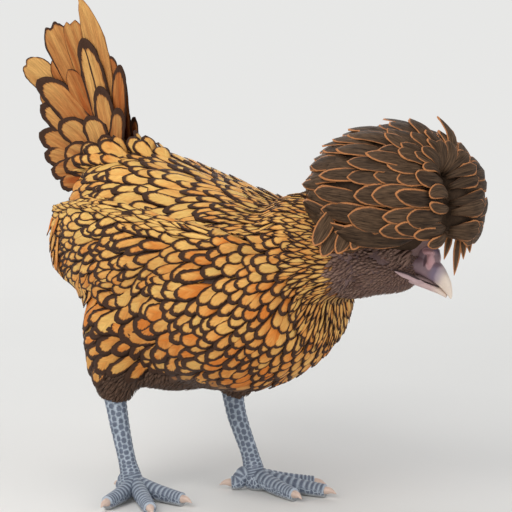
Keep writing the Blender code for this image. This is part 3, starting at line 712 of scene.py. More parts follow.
class Nodes:
    """Short words for building a node tree."""

    def __init__(self, tree):
        self.tree = tree

    def add(self, kind, settings=None, **inputs):
        """A node of a kind, whose inputs are given by name, or as i0, i1 and so on by number."""
        node = self.tree.nodes.new(kind)
        for name, value in (settings or {}).items():
            setattr(node, name, value)
        for name, value in inputs.items():
            self.put(node.inputs[int(name[1:]) if name[1:].isdigit() else name.replace("_", " ")], value)
        return node

    def put(self, socket, value):
        """Links or sets an input."""
        if isinstance(value, bpy.types.NodeSocket):
            self.tree.links.new(value, socket)
        else:
            socket.default_value = value

    def math(self, operation, a, b=0.0, c=0.0, clamp=False):
        settings = {"operation": operation, "use_clamp": clamp}
        return self.add("ShaderNodeMath", settings, i0=a, i1=b, i2=c).outputs[0]

    def plus(self, a, b, clamp=False):
        return self.math("ADD", a, b, clamp=clamp)

    def minus(self, a, b, clamp=False):
        return self.math("SUBTRACT", a, b, clamp=clamp)

    def times(self, a, b):
        return self.math("MULTIPLY", a, b)

    def scaled(self, value, factor, offset):
        """value * factor + offset."""
        return self.math("MULTIPLY_ADD", value, factor, offset)

    def step(self, low, high, value):
        """0 below low, 1 above high, and a smooth way between them."""
        node = self.add("ShaderNodeMapRange", {"interpolation_type": "SMOOTHSTEP"})
        for k, v in enumerate((value, low, high, 0.0, 1.0)):
            self.put(node.inputs[k], v)
        return node.outputs[0]

    def mix(self, share, a, b, blend="MIX"):
        node = self.add("ShaderNodeMix", {"data_type": "RGBA", "blend_type": blend})
        for k, v in ((0, share), (6, a), (7, b)):
            self.put(node.inputs[k], v)
        return node.outputs[2]

    def noise(self, vector, scale, detail=2.0, roughness=0.5):
        return self.add("ShaderNodeTexNoise", None, Vector=vector, Scale=scale, Detail=detail,
                        Roughness=roughness).outputs[0]

    def grey(self, value):
        return self.add("ShaderNodeCombineColor", None, Red=value, Green=value, Blue=value).outputs[0]

    def value(self, name):
        """What the points of a piece carry under a name."""
        return self.add("ShaderNodeAttribute", {"attribute_name": name}).outputs["Fac"]

    def place(self):
        """The place on the piece, in metres."""
        return self.add("ShaderNodeTexCoord").outputs["Object"]

    def bump(self, strength, distance, height):
        """The normal that a height gives, for a full height of so many metres."""
        node = self.add("ShaderNodeBump", None, Strength=strength, Distance=distance, Height=height)
        return node.outputs[0]


def new_group(name, inputs, outputs):
    """An empty shader group with named sockets, given as (name, kind, value)."""
    group = bpy.data.node_groups.new(name, "ShaderNodeTree")
    for in_out, sockets in (("INPUT", inputs), ("OUTPUT", outputs)):
        for socket_name, kind, *value in sockets:
            kind = "NodeSocket" + kind
            socket = group.interface.new_socket(socket_name, in_out=in_out, socket_type=kind)
            if value:
                socket.default_value = value[0]
    nodes = Nodes(group)
    return group, nodes, nodes.add("NodeGroupInput").outputs, nodes.add("NodeGroupOutput").inputs


def new_material(name, roughness=0.6, **settings):
    """A material with its Principled shader, and the helper for its nodes."""
    made = bpy.data.materials.new(name)
    made.use_nodes = True
    print("material", name)
    shader = made.node_tree.nodes["Principled BSDF"]
    shader.inputs["Roughness"].default_value = roughness
    for key, value in settings.items():
        shader.inputs[key.replace("_", " ")].default_value = value
    return made, Nodes(made.node_tree), shader.inputs


print("a display value of 128 is", linear(128, 128, 128)[0].round(3), "to a shader")

# %% The vane group
WHITE, BLACK = (1, 1, 1, 1), (0, 0, 0, 1)
VANE_NUMBERS = {"Edge": 5.0, "Aside": 0.0, "Ahead": FAR_AHEAD, "Half": 0.0, "Slant": 2.2, "Grain along": 0.17,
                "Grain across": 0.16, "Lace": 1.5, "Tone": 0.5, "Warm": 0.5, "Fade": 0.0, "Shaft": 0.0,
                "Streak": 0.3}
VANE_COLOURS = {"Pale": WHITE, "Rich": WHITE, "Rim": BLACK, "Border": BLACK, "Down": BLACK}


def edge_distance(n, given, wave):
    """Millimetres from the edge: as carried, or (1 - sqrt(aside² + (1 - ahead)²)) * half, plus a wave."""
    left = n.minus(1.0, given["Ahead"], clamp=True)
    level = n.math("SQRT", n.plus(n.times(given["Aside"], given["Aside"]), n.times(left, left)))
    inside = n.times(n.minus(1.0, level), given["Half"])
    return n.plus(n.math("MAXIMUM", given["Edge"], inside), wave)


def vane_group():
    """Colour, roughness and height of one vane, from its edge distance and its own values.

    Three noises run along the barbs, which leave the shaft by Slant: fine barbs, streaks and
    broad patches. They wave the rim's inner edge and move the ground between Pale and Rich.
    """
    sockets = [(name, "Float", value) for name, value in VANE_NUMBERS.items()]
    sockets += [(name, "Color", value) for name, value in VANE_COLOURS.items()]
    group, n, given, out = new_group("vane", sockets + [("Vane", "Vector")],
                                     [("Color", "Color"), ("Roughness", "Float"), ("Height", "Float")])
    parts = n.add("ShaderNodeSeparateXYZ", None, Vector=given["Vane"]).outputs
    across = n.scaled(parts[0], MAP_WIDTH, -0.5 * MAP_WIDTH)
    along = n.times(parts[1], MAP_LENGTH)
    own = n.times(given["Tone"], 37.0)
    leaving = n.minus(along, n.times(n.math("ABSOLUTE", across), given["Slant"]))
    barb = n.add("ShaderNodeCombineXYZ", None, X=leaving, Y=n.times(across, 0.25), Z=own).outputs[0]
    run = n.add("ShaderNodeCombineXYZ", None, X=n.times(leaving, given["Grain along"]),
                Y=n.times(across, given["Grain across"]), Z=own).outputs[0]
    fine = n.noise(barb, 1.7, 2.0, 0.7)
    streak = n.noise(run, 2.2, 2.0, 0.6)
    broad = n.noise(run, 0.5, 1.0)
    share = n.plus(given["Warm"], n.scaled(given["Tone"], 0.6, -0.30))
    share = n.plus(share, n.scaled(broad, 1.1, -0.55), clamp=True)
    ground = n.mix(share, given["Pale"], given["Rich"])
    light = n.scaled(n.minus(fine, 0.5), 0.45, 1.0)
    light = n.scaled(n.times(n.minus(streak, 0.5), given["Streak"]), 2.0, light)
    light = n.times(light, n.scaled(given["Tone"], 0.22, 0.88))
    ground = n.mix(1.0, ground, n.grey(light), "MULTIPLY")
    wavy = edge_distance(n, given, n.scaled(fine, 0.6, -0.3))
    wavy = n.plus(wavy, n.times(n.minus(streak, 0.5), n.times(given["Lace"], 0.9)))
    border = n.step(n.plus(given["Lace"], 1.1), given["Lace"], wavy)
    rim = n.step(n.plus(given["Lace"], 0.25), n.minus(given["Lace"], 0.2), wavy)
    line = n.step(0.9, 0.45, n.math("ABSOLUTE", n.plus(across, n.scaled(streak, 1.2, -0.6))))
    rim = n.math("MAXIMUM", rim, n.times(line, given["Shaft"]))
    colour = n.mix(n.times(border, 0.6), ground, given["Border"])
    colour = n.mix(rim, colour, n.mix(n.times(fine, 0.6), given["Rim"], given["Down"]))
    down = n.mix(fine, n.mix(0.30, given["Down"], BLACK), given["Down"])
    n.put(out["Color"], n.mix(given["Fade"], colour, down))
    n.put(out["Roughness"], n.scaled(fine, 0.25, 0.45))
    quill = n.step(0.40, 0.1, n.math("ABSOLUTE", across))
    n.put(out["Height"], n.plus(n.plus(n.times(fine, 0.6), streak), quill))
    return group


VANE = vane_group()
print("the vane group has", len(VANE.nodes), "nodes")

# %% Colourings of the coat
def plumage(name, pale, rich, rim, border, down, streak, slant=2.2, along=0.17, across=0.16):
    """A material for feathers of one colouring, whose grain leaves the shaft by slant."""
    made, n, shader = new_material(name, Specular_IOR_Level=0.1)
    node = n.add("ShaderNodeGroup", {"node_tree": VANE}, Pale=linear(*pale), Rich=linear(*rich),
                 Rim=linear(*rim), Border=linear(*border), Down=linear(*down), Streak=streak, Slant=slant,
                 Grain_along=along, Grain_across=across)
    for name in VANE_VALUES:
        n.put(node.inputs[name.title()], n.value(name))
    n.put(node.inputs["Vane"], n.add("ShaderNodeUVMap", {"uv_map": "Vane"}).outputs[0])
    n.put(shader["Base Color"], node.outputs["Color"])
    n.put(shader["Roughness"], node.outputs["Roughness"])
    n.put(shader["Normal"], n.bump(0.35, 0.0004, node.outputs["Height"]))
    return made


# pale and rich ground, rim, the border beside it, and down, and then how strong the streaks are
GOLD = plumage("laced_gold", (234, 190, 110), (202, 118, 48), (44, 23, 13), (160, 88, 36), (104, 80, 66),
               streak=0.25)
TAIL_GOLD = plumage("tail_gold", (204, 156, 92), (154, 80, 34), (46, 26, 16), (150, 84, 38), (96, 70, 56),
                    streak=0.55, slant=1.2, along=0.035, across=0.42)
CREST = plumage("crest_dark", (92, 71, 53), (48, 36, 27), (200, 134, 84), (96, 68, 50), (140, 92, 58),
                streak=1.6, slant=0.25, along=0.045, across=0.6)
FACE = plumage("face_dark", (154, 124, 110), (120, 92, 82), (120, 94, 84), (122, 96, 86), (106, 82, 74),
               streak=0.3)

# %% The skin's material
def skin_material():
    """Dark skin and down under the coat, greyer on the face, mottled at two scales."""
    made, n, shader = new_material("skin", 0.75)
    place = n.place()
    mottle = n.noise(place, 180.0, 3.0)
    fine = n.noise(place, 900.0, 2.0)
    body = n.mix(mottle, linear(64, 44, 34), linear(92, 66, 50))
    body = n.mix(n.times(fine, 0.5), body, linear(104, 84, 78))
    face = n.mix(mottle, linear(92, 70, 70), linear(138, 110, 106))
    n.put(shader["Base Color"], n.mix(n.value("face"), body, face))
    n.put(shader["Normal"], n.bump(0.5, 0.0006, fine))
    return made


SKIN = skin_material()

# %% [markdown]
# ## The skin
#
# Skin is hardly seen, but it closes every gap between the feathers. The form itself could be shown,
# but each feather would stand out from its surface. So the skin is the form moved inwards by the
# coat's depth, with the knob of the skull that carries the crest.

# %% Skin
COAT_DEPTH, THINNER_ON_FACE = 3.4, 2.2


def body_skin():
    """The form moved inwards by the coat's depth, which is least on the face."""
    knob = ellipsoid(on_head([6, 0, 26]), [26.0, 22.0, 19.0], CREST_TURN)
    made = as_one(flesh + [knob], voxel=2.4, smoothing=4)
    p, out = corners(made), normals_of(made)
    p = p - out * (COAT_DEPTH - THINNER_ON_FACE * face_share(p))[:, None]
    reshaped(made, p)
    made.data.materials.append(SKIN)
    made.name = "body_skin"
    return with_values(made, face=face_share(p))


keep_piece(body_skin())

# %% [markdown]
# ## The body's laced feathers
#
# Breast, back, flanks and wings carry golden feathers with a dark rim, in offset rows. They could be
# painted on the skin, but their tips make the outline and the small shadows, so each is a mesh.
# Spacing, rim and warmth change smoothly, as no two parts of the real coat are quite alike.

# %% Where the body's feathers grow
BODY_X, WING_X = [-118, -60, 10, 60, 90, 115], [-110, -50, 30, 70]


def body_spacing(p):
    """Distances between feathers along and across the lie: short on the breast, long on the back."""
    x, _, z = p.T
    along = np.interp(x, BODY_X, [10.0, 13.0, 14.5, 11.5, 8.6, 7.0])
    across = np.interp(x, BODY_X, [7.0, 8.4, 8.6, 7.2, 5.8, 5.0])
    wing, back = on_wing(p), ramp(196, 214, z)
    along, across = along * (1 + 0.10 * back), across * (1 - 0.26 * back)
    along = along + (np.interp(x, WING_X, [7.5, 10.0, 12.0, 13.5]) - along) * wing
    across = across + (np.interp(x, WING_X, [4.4, 4.7, 5.2, 6.0]) - across) * wing
    size = 1 + 0.20 * drift(p, 3, 36.0)
    return along * size, across * size


def is_body(p, outward):
    """Where neither face feathers, hackles nor down grow."""
    return (face_share(p) < 0.5) & (hackle_share(p) < 0.5) & (fluff_share(p, outward) < 0.5)


roots, outward, lie, chance = scattered(form, is_body, lie_at, body_spacing, seed=7, density=0.3)
count = len(roots)
print(count, "roots on the body")

# %% Body feathers
x, y, z = roots.T
along_step, across_step = body_spacing(roots)
half = 0.82 * across_step * chance.uniform(0.86, 1.16, count)
length = 2.5 * along_step * chance.uniform(0.9, 1.12, count)
wing = on_wing(roots)
upper = ramp(185, 212, z)
tone = chance.random(count)
lace = np.interp(x, [-118, 0, 60, 110], [2.9, 3.3, 2.8, 2.0]) * chance.uniform(0.75, 1.25, count)
lace *= (1 - 0.38 * wing) * (1 - 0.30 * upper) * (1 + 0.30 * drift(roots, 12, 34.0))
lace *= 1 + 0.22 * ramp(150, 115, z) * ramp(90, 50, x)
warm = 0.46 - 0.26 * upper - 0.12 * wing - 0.25 * wing * ramp(180, 200, z)
warm += 0.34 * ramp(-70, -105, x)
warm += 0.14 * ramp(150, 110, z) + 0.22 * drift(roots, 14, 40.0)
fade = np.clip(1.5 * fluff_share(roots, outward) + 0.8 * face_share(roots), 0, 1)
turned = turned_aside(lie, outward, chance.uniform(-0.22, 0.22, count))
lift = 0.4 + chance.uniform(-0.35, 0.45, count)
start = roots - turned * length[:, None] * 0.35
REGIONS = {"wing_feathers_right": (wing > 0.5) & (y < 0), "wing_feathers_left": wing > 0.5,
           "breast_feathers": x > 45, "back_feathers": z >= 200, "flank_feathers_right": y < 0,
           "flank_feathers_left": y >= 0}
# a feather belongs to the first region that holds its root
region = np.argmax(list(REGIONS.values()), axis=0)
for number, name in enumerate(REGIONS):
    keep = region == number
    vane = SMALL if number < 3 else CONTOUR
    points = laid(vane, start[keep], outward[keep], turned[keep], half[keep], length[keep], lift[keep],
                  chance, form, camber=0.6)
    one_coat(name, GOLD, vane, points, half[keep], length[keep], body_place(roots[keep]), 0.006,
             lace=lace[keep], tone=tone[keep], warm=warm[keep, None] + 0.5 * (0.78 - vane.v), fade=fade[keep])

# %% [markdown]
# ## Hackles
#
# The neck wears a cape of long, narrow feathers that end in a point. The body's blades could be drawn
# thinner, but a hackle is widest past its middle, so it has its own vane.

# %% Hackle feathers
def hackle_half_width(p):
    """Narrow by the head and wider on the shoulder."""
    return np.interp(p[:, 0], [45, 90, 130], [3.2, 2.5, 1.9])


def hackle_spacing(p):
    """Distances along and across the lie, as multiples of the half width."""
    return 2.4 * hackle_half_width(p), 1.3 * hackle_half_width(p)


def is_hackle(p, outward):
    """The neck, as far as the face's own feathers."""
    return (face_share(p) < 0.62) & (hackle_share(p) >= 0.5)


roots, outward, lie, chance = scattered(form, is_hackle, lie_at, hackle_spacing, seed=8, density=0.6)
count = len(roots)
half = hackle_half_width(roots) * chance.uniform(0.8, 1.15, count)
length = 9.0 * half * chance.uniform(0.85, 1.15, count)
turned = turned_aside(lie, outward, chance.uniform(-0.12, 0.12, count))
points = laid(HACKLE, roots - turned * length[:, None] * 0.3, outward, turned, half, length,
              0.9 + chance.uniform(-0.4, 0.5, count), chance, form, camber=0.35)
one_coat("neck_hackles", GOLD, HACKLE, points, half, length, body_place(roots), 0.005,
         lace=0.46 * half * chance.uniform(0.7, 1.3, count), tone=chance.random(count), warm=0.30,
         fade=0.9 * face_share(roots))

# %% [markdown]
# ## The wing's long feathers
#
# On a folded wing the long feathers show only as narrow edges: two pale rows on top, steep ones over
# the rear end and a fringe below. Random roots would leave those edges ragged, so these feathers
# stand in rows at even steps.

# %% Long wing feathers
def wing_edges(side, chance):
    """Roots, lies, half widths, lengths, lacing and warmth of the feathers at the wing's edges."""
    upper_edge, lower_edge = WING_RUN[:, 2] + WING_RUN[:, 4], WING_RUN[:, 2] - WING_RUN[:, 5]
    rows = []
    for drop, warm in ((0.5, -0.25), (4.5, -0.1)):
        x = np.arange(72, -88, -6.0) + drop
        z = np.interp(x, WING_RUN[:, 0], upper_edge) - drop
        rows.append((x, z, (-1, -0.02), 2.2, 25, 0.7, warm))
    for x in (-88, -94, -100):
        z = np.arange(206, 158, -9.0) - (x % 7)
        rows.append((np.full(len(z), x), z, (-0.22, -1), 3.3, 30, 0.8, 0.62))
    for lift in (0.0, 6.0):
        x = np.arange(-94, -44, 4.6)
        z = np.interp(x, WING_RUN[:, 0], lower_edge) + 4 + lift
        rows.append((x, z, (-0.6, -0.8), 2.9, 30, 1.2, 0.25))
    found = []
    for x, z, (back, down), half, length, lace, warm in rows:
        count = len(x)
        y = np.interp(x, WING_RUN[:, 0], WING_RUN[:, 1] + WING_RUN[:, 3])
        roots = np.stack([x + chance.uniform(-1.5, 1.5, count), side * y, z], -1)
        lies = np.broadcast_to([back, 0.0, down], (count, 3)) + chance.uniform(-0.10, 0.10, (count, 3))
        sizes = [mean * chance.uniform(1 - share, 1 + share, count)
                 for mean, share in ((half, 0.15), (length, 0.15), (lace, 0.2))]
        found.append((roots, lies, *sizes, np.full(count, warm)))
    return [np.concatenate(values) for values in zip(*found)]


for side, name in ((-1, "wing_quills_right"), (1, "wing_quills_left")):
    chance = np.random.default_rng(17)
    roots, lie, half, length, lace, warm = wing_edges(side, chance)
    roots, outward = wrapped(roots, form)
    points = laid(HACKLE, roots, outward, lie, half, length, 1.7 + chance.uniform(-0.4, 0.5, len(roots)),
                  chance, form, camber=0.4)
    one_coat(name, GOLD, HACKLE, points, half, length, body_place(roots), 0.006, lace=lace,
             tone=chance.random(len(roots)), warm=warm)

# %% [markdown]
# ## The saddle
#
# Before the tail the back's feathers stand up in soft tufts and fall over its root. Laid on the form
# they would lie flat, so these are blades in the air, each with its own root, tip and slight bow.

# %% Saddle feathers
# place forwards and aside, height over the back and way backwards, of the tufts along the middle
SADDLE_TUFTS = [(-34, -3, 5, 15), (-41, 5, 7, 15), (-44, -9, 9, 15), (-50, 0, 12, 14), (-55, -9, 11, 15),
                (-57, 10, 10, 14), (-63, 2, 15, 12), (-70, -10, 12, 14)]


def saddle():
    """Blades whose line is root + way * v, raised off it by 3.5 (v - v²) with edges lowered by 1.2 u²."""
    chance = np.random.default_rng(41)
    roots, tips = [], []
    for x, y, high, back in SADDLE_TUFTS:
        roots.append((x, y, 235))
        tips.append((x - back, y * 1.15 + chance.uniform(-3, 3), 238 + high))
    for side in (-1, 1):
        x = np.arange(-56, -112, -8.0)
        for out, long, up in ((18, 27, 0.16), (25, 25, 0.03)):
            at = x - (out % 5) + chance.uniform(-2.5, 2.5, len(x))
            aside = side * out + chance.uniform(-2, 2, len(x))
            found, _ = wrapped(np.stack([at, aside, 236 + 0 * x], -1), form)
            way = unit(np.array([-1, side * 0.10, up]) + chance.uniform(-0.14, 0.14, found.shape))
            roots += list(found - [0, 0, 3])
            tips += list(found + way * long * chance.uniform(0.85, 1.15, (len(x), 1)))
    roots, tips = np.array(roots, float), np.array(tips, float)
    way = tips - roots
    length = np.linalg.norm(way, axis=1)
    half = chance.uniform(4.6, 6.4, len(roots))
    lateral = np.clip(np.abs(roots[:, 1:2]) / 20, 0, 1) * np.sign(roots[:, 1:2] + 0.1)
    across = unit(np.cross(way, UP + np.array([0, 1.6, 0]) * lateral))
    out = np.cross(across, unit(way))
    v = CONTOUR.v[None, :, None]
    lifted = 3.5 * (v - v**2) - 1.2 * (CONTOUR.u**2)[None, :, None] - 0.3 * CONTOUR.below[None, :, None]
    points = (roots[:, None] + way[:, None] * v + across[:, None] * (CONTOUR.x * half[:, None])[..., None]
              + out[:, None] * lifted)
    one_coat("saddle_feathers", GOLD, CONTOUR, points, half, length, body_place(roots), 0.006,
             lace=2.2, tone=chance.random(len(roots)), warm=0.3)


saddle()

# %% [markdown]
# ## Down on the thighs and belly
#
# Down has no firm vane, and its loose barbs read as soft brown fluff. Hair curves would show that
# best, but an export loses them. Small, dense tufts of three columns give the same broken surface,
# and the vane group fades them to the colour of down.

# %% Fluff
def fluff_spacing(p):
    """3.4 mm along the lie and 2.2 mm across it, everywhere."""
    return np.full(len(p), 3.4), np.full(len(p), 2.2)


def is_fluff(p, outward):
    """The down's own places and a margin under the feathers round it."""
    return fluff_share(p, outward) >= 0.38


roots, outward, lie, chance = scattered(form, is_fluff, lie_at, fluff_spacing, seed=9, density=0.7)
count = len(roots)
half = chance.uniform(1.5, 2.2, count)
length = chance.uniform(10, 14, count)
turned = turned_aside(lie, outward, chance.uniform(-0.2, 0.2, count))
points = laid(TUFT, roots - turned * 3, outward, turned, half, length, chance.uniform(-0.3, 0.1, count),
              chance, form, camber=0.1, thick=0.15, roll=0.1)
one_coat("thigh_down", GOLD, TUFT, points, half, length, body_place(roots), 0.003,
         lace=0.3, tone=chance.random(count), warm=0.5, fade=1.0)

# %% [markdown]
# ## The tail
#
# The hen's tail is a tent of quills on each side, under two tiers of coverts. Copies of one feather
# would look stamped, so every blade is its own vane along a straight ray from the tail's root, tilted
# about its shaft so that its rear edge lies over the next one.

# %% Kinds of tail feather
FINE = (-1, -0.85, -0.55, -0.2, 0.2, 0.55, 0.85, 1)


def long_vane(shaft, aspect, tip, root, opened, count=14):
    """A round vane with rows along its shaft, and then those of an even turn round its tip."""
    share = tip / aspect
    rows = list(shaft) + list(1 - share + share * np.sin(np.linspace(0, np.pi / 2, count)))
    return round_vane(rows, FINE, aspect, tip, root, opened)


POINTED = Vane([(0, 0.30), (0.15, 0.44), (0.3, 0.64), (0.43, 0.82), (0.54, 0.94), (0.64, 1.0), (0.73, 0.97),
                (0.80, 0.86), (0.86, 0.70), (0.91, 0.50), (0.955, 0.28), (0.985, 0.12), (1, 0)], FINE, 15.0)
BLUNT = long_vane([0, 0.12, 0.25, 0.38, 0.50, 0.62, 0.73], aspect=12.5, tip=2.0, root=0.26, opened=0.80)
COVERT = long_vane([0, 0.16, 0.32, 0.46, 0.57, 0.67], aspect=9.0, tip=2.3, root=0.30, opened=0.62)
# the far side's feathers are this much shorter, and lean back by this much more
FAR_SIDE_SHARE, FAR_SIDE_LEAN = 0.85, 4.0
# kind, lean from upright and its growth to the tip in degrees, length, half width, layer and lace in
# millimetres, warmth, and how dark the shaft is
TAIL_FEATHERS = [
    (BLUNT, 34, 1, 108, 9, 2.6, 0.5, 0.85, 0), (BLUNT, 47, 2, 98, 8, 2.4, 0.5, 0.8, 0),
    (BLUNT, 13, 0, 110, 8, 2.8, 0.5, 0.8, 0), (BLUNT, 5, 0, 92, 6, 2.6, 0.6, 0.9, 0),
    (POINTED, 9, 6, 141, 9.6, 5.2, 0.15, 0.30, 0), (BLUNT, 27, 2, 132, 12, 3.6, 1.1, 0.62, 0),
    (BLUNT, 20, 0.5, 126, 10.5, 4.4, 0.1, 0.62, 0), (BLUNT, 39, 7, 125, 11.5, 3, 0.5, 0.36, 0),
    (COVERT, -3, 0, 86, 6.5, 6.2, 1.6, 0.6, 0), (COVERT, 25, 3, 92, 9, 6.2, 0.3, 0.85, 0),
    (COVERT, 12, 3.5, 108, 10.5, 8, 2.6, 0.18, 1), (COVERT, 45, 7, 88, 11, 7.2, 2.8, 0.45, 0),
    (COVERT, 34, 10, 102, 12, 8.2, 3, 0.6, 0), (COVERT, 57, 6, 76, 10, 8.8, 3, 0.6, 0),
    (COVERT, 5, 4, 71, 9, 10.4, 2.8, 0.2, 0),
    (COVERT, 65, 7, 64, 9.5, 10.2, 2.9, 0.65, 0), (COVERT, 36, 11, 64, 10.5, 11.2, 2.8, 0.4, 0),
    (COVERT, -8, 0, 56, 7, 11.4, 2.2, 0.6, 0), (COVERT, 13, 9, 52, 10, 13, 2.8, 0.35, 0),
    (COVERT, 50, 8, 46, 9.5, 13.2, 2.4, 0.5, 0), (COVERT, 73, 8, 53, 9, 12, 2.8, 0.7, 0),
    (COVERT, -2, 6, 36, 7.5, 14.4, 2.2, 0.5, 0), (COVERT, 28, 8, 36, 8.5, 14.8, 2.2, 0.3, 0),
    (COVERT, 62, 8, 41, 8.5, 14.4, 2.8, 0.5, 0), (COVERT, 86, 4, 42, 8.5, 13, 2.6, 0.7, 0)]
print(len(TAIL_FEATHERS), "tail feathers a side")

# %% One tail feather
def fanned(vane, side, lean, growth, length, half_width, layer, chance, bend=3.0):
    """Points of one tail feather, whose shaft leans back by lean + growth * v² degrees at its part v.

    A point is root + ray * v * length + across * x, and the blade bows forwards by bend * (v - v²).
    The edges wave by two sines, and the tips of the longest feathers are split and frayed.
    """
    v = vane.v[:, None]
    turn = np.radians(lean + growth * v**2)
    splay = 0.14 * turn
    ray = np.hstack([-np.sin(turn) * np.cos(splay), side * np.sin(splay), np.cos(turn) * np.cos(splay)])
    backward = np.hstack([-np.cos(turn), 0 * turn, -np.sin(turn)])
    aside = (layer + 0.02 * lean) * (0.5 + 0.5 * np.minimum(v / 0.3, 1.0))
    across = unit(backward + np.array([0.0, side * 0.26, 0.0]))
    out = unit(np.cross(across, ray)) * side
    out = out * np.sign(out[:, 1:2] * side)
    notch = np.sin(vane.v * 23 + 6 * chance.random()) + np.sin(vane.v * 41 + 6 * chance.random())
    ragged = 1 + (0.010 * chance.standard_normal(len(vane.x)) + 0.032 * notch) * (np.abs(vane.u) > 0.9)
    worn = ramp(110, 125, length) * ramp(0.86, 1.0, vane.v)
    split = 4.5 * worn * np.exp(-(((vane.x - chance.uniform(-0.25, 0.25)) / 0.22) ** 2))
    frayed = split + 0.5 * worn * np.abs(chance.standard_normal(len(vane.x)))
    wave = 0.5 * np.sin(9 * vane.v + 6 * chance.random()) * np.abs(vane.u)
    height = 0.35 * (1 - np.abs(vane.u)) * (0.5 - vane.below) - 1.3 * vane.u**2 + wave
    return (TAIL_ROOT + np.array([0.0, side, 0.0]) * aside + ray * (8 + (length - 8) * v - frayed[:, None])
            + across * (vane.x * ragged * half_width)[:, None] + out * height[:, None]
            - backward * (bend * (v - v**2)))


print("the tail's feathers fan out from", TAIL_ROOT)

# %% Tail feathers
def tail():
    """All the feathers of the fan on both sides, from the quills to the short coverts."""
    chance = np.random.default_rng(31)
    coat = Coat()
    for side in (-1, 1):
        far = side > 0
        for k, (vane, lean, growth, length, wide, layer, lace, warm, shaft) in enumerate(TAIL_FEATHERS):
            wide = wide * chance.uniform(0.95, 1.04)
            lean = lean + chance.uniform(-0.5, 0.5) + FAR_SIDE_LEAN * far
            length = length * (FAR_SIDE_SHARE if far else 1.0)
            points = fanned(vane, side, lean, growth, length, wide, layer, chance)
            place = np.array([[0.25 + 0.5 * far + 0.03 * (k % 7 - 3), 0.15 + 0.2 * (k // 7)]])
            # the far side's feathers carry painted shade: more of the down's colour and a richer, darker
            # ground
            coat.add(vane, points[None], wide, length, place, 0.02, lace=1.15 * lace,
                     tone=chance.uniform(0.3, 0.7), warm=(warm + 0.2 * far + 1.0 * (0.72 - vane.v))[None],
                     fade=(0.12 * far + 0.85 * ramp(0.50, 0.12, vane.v))[None], shaft=shaft)
    coat.make("tail_feathers", TAIL_GOLD)


tail()

# %% [markdown]
# ## The crest
#
# The breed's crest grows from a knob on the skull. Its dark feathers with a thin golden rim part in
# front and flow over the knob to all sides. Scattered roots would cross, so a flat map round the
# parting holds the tips in rows: its distance is the angle that a tip reaches round.

# %% The crest's shape
CREST_CENTRE = HEAD_CENTRE + CREST_TURN @ [6, 0, 44.0]
CREST_RADII = np.array([62.0, 56.0, 47.0])
KNOB_CENTRE = HEAD_CENTRE + CREST_TURN @ [1, 0, 31.0]
KNOB_RADII = np.array([30.0, 26.0, 23.0])
# the parting is an upright line at this bearing from straight ahead, between two heights on the map
PARTING_BEARING, PARTING_LOW, PARTING_HIGH = np.radians(-18.0), -0.42, 0.52
PARTING_COS, PARTING_SIN = np.cos(PARTING_BEARING), np.sin(PARTING_BEARING)


def crest_place(away, share):
    """A place between the knob and the crest's outline in a direction, squarer below the middle."""
    level_part = np.hypot(away[..., 0], away[..., 1])
    power = np.where(away[..., 2] < 0, 3.0, 2.0)
    outer = away / ((level_part**power + np.abs(away[..., 2]) ** power) ** (1 / power))[..., None]
    inner = KNOB_CENTRE + (KNOB_RADII * away) @ CREST_TURN.T
    return inner + share[..., None] * (CREST_CENTRE + (CREST_RADII * outer) @ CREST_TURN.T - inner)


def crest_away(flat):
    """The direction for points of the flat map, whose distances from the middle are angles."""
    distance = np.linalg.norm(flat, axis=-1, keepdims=True)
    side = flat / np.maximum(distance, 1e-9) * np.sin(distance)
    ahead, c, s = np.cos(distance[..., 0]), PARTING_COS, PARTING_SIN
    return np.stack([c * ahead - s * side[..., 0], s * ahead + c * side[..., 0], side[..., 1]], -1)


def to_map(away):
    """The place on the flat map of a direction from the middle of the crest."""
    c, s = PARTING_COS, PARTING_SIN
    ahead, aside, up = c * away[0] + s * away[1], -s * away[0] + c * away[1], away[2]
    return np.array([aside, up]) / max(np.hypot(aside, up), 1e-9) * np.arccos(np.clip(ahead, -1, 1))


def round_parting(distance, count=480):
    """Points on the parting and the way outwards, all round the oval at one distance from it.

    The oval is a half circle, a straight side, the other half circle and the other side.
    """
    arc, straight = np.pi * distance, PARTING_HIGH - PARTING_LOW
    ends = np.cumsum([0, arc, straight, arc, straight])
    run = np.linspace(0, ends[-1], count, endpoint=False)
    turn = np.interp(run, ends, np.pi * np.array([0, 1, 1, 2, 2]))
    source = np.interp(run, ends, [PARTING_HIGH, PARTING_HIGH, PARTING_LOW, PARTING_LOW, PARTING_HIGH])
    return np.stack([np.zeros(count), source], -1), np.stack([np.cos(turn), np.sin(turn)], -1)


print("the crest is", 2 * CREST_RADII[0], "mm long")

# %% Where the crest's feathers end
PLUME = Vane([(0, 0.30), (0.18, 0.50), (0.36, 0.76), (0.52, 0.93), (0.66, 1.0), (0.77, 0.97), (0.86, 0.85),
              (0.925, 0.65), (0.97, 0.38), (0.992, 0.18), (1, 0)], (-1, -0.82, -0.45, 0, 0.45, 0.82, 1), 7.0)
# how far from the parting the tips of each row lie on the map
CREST_ROWS = [0.46, 0.76, 1.05, 1.35, 1.65, 1.95, 2.25, 2.52, 2.77, 3]
# direction from the middle of the crest, how far the tip stands out, and width, of tips that stand free
FREE_TIPS = [
    ((0.265, 0.33, 0.91), 0.22, 0.75), ((0.10, 0.1, 0.99), 0.06, 0.9), ((-0.76, -0.62, -0.12), 0.08, 0.8),
    ((-0.7, -0.37, 0.62), 0.08, 0.7), ((-0.48, -0.18, 0.84), 0.07, 0.75), ((-0.77, -0.44, 0.46), 0.05, 0.75),
    ((-0.84, -0.55, 0.1), 0.12, 0.7), ((-0.71, -0.55, -0.43), 0.08, 0.75), ((-0.62, -0.5, -0.6), 0.10, 0.7),
    ((-0.45, -0.5, -0.72), 0.08, 0.8), ((-0.8, -0.2, 0.5), 0.07, 0.75), ((-0.62, 0.1, 0.76), 0.06, 0.75)]
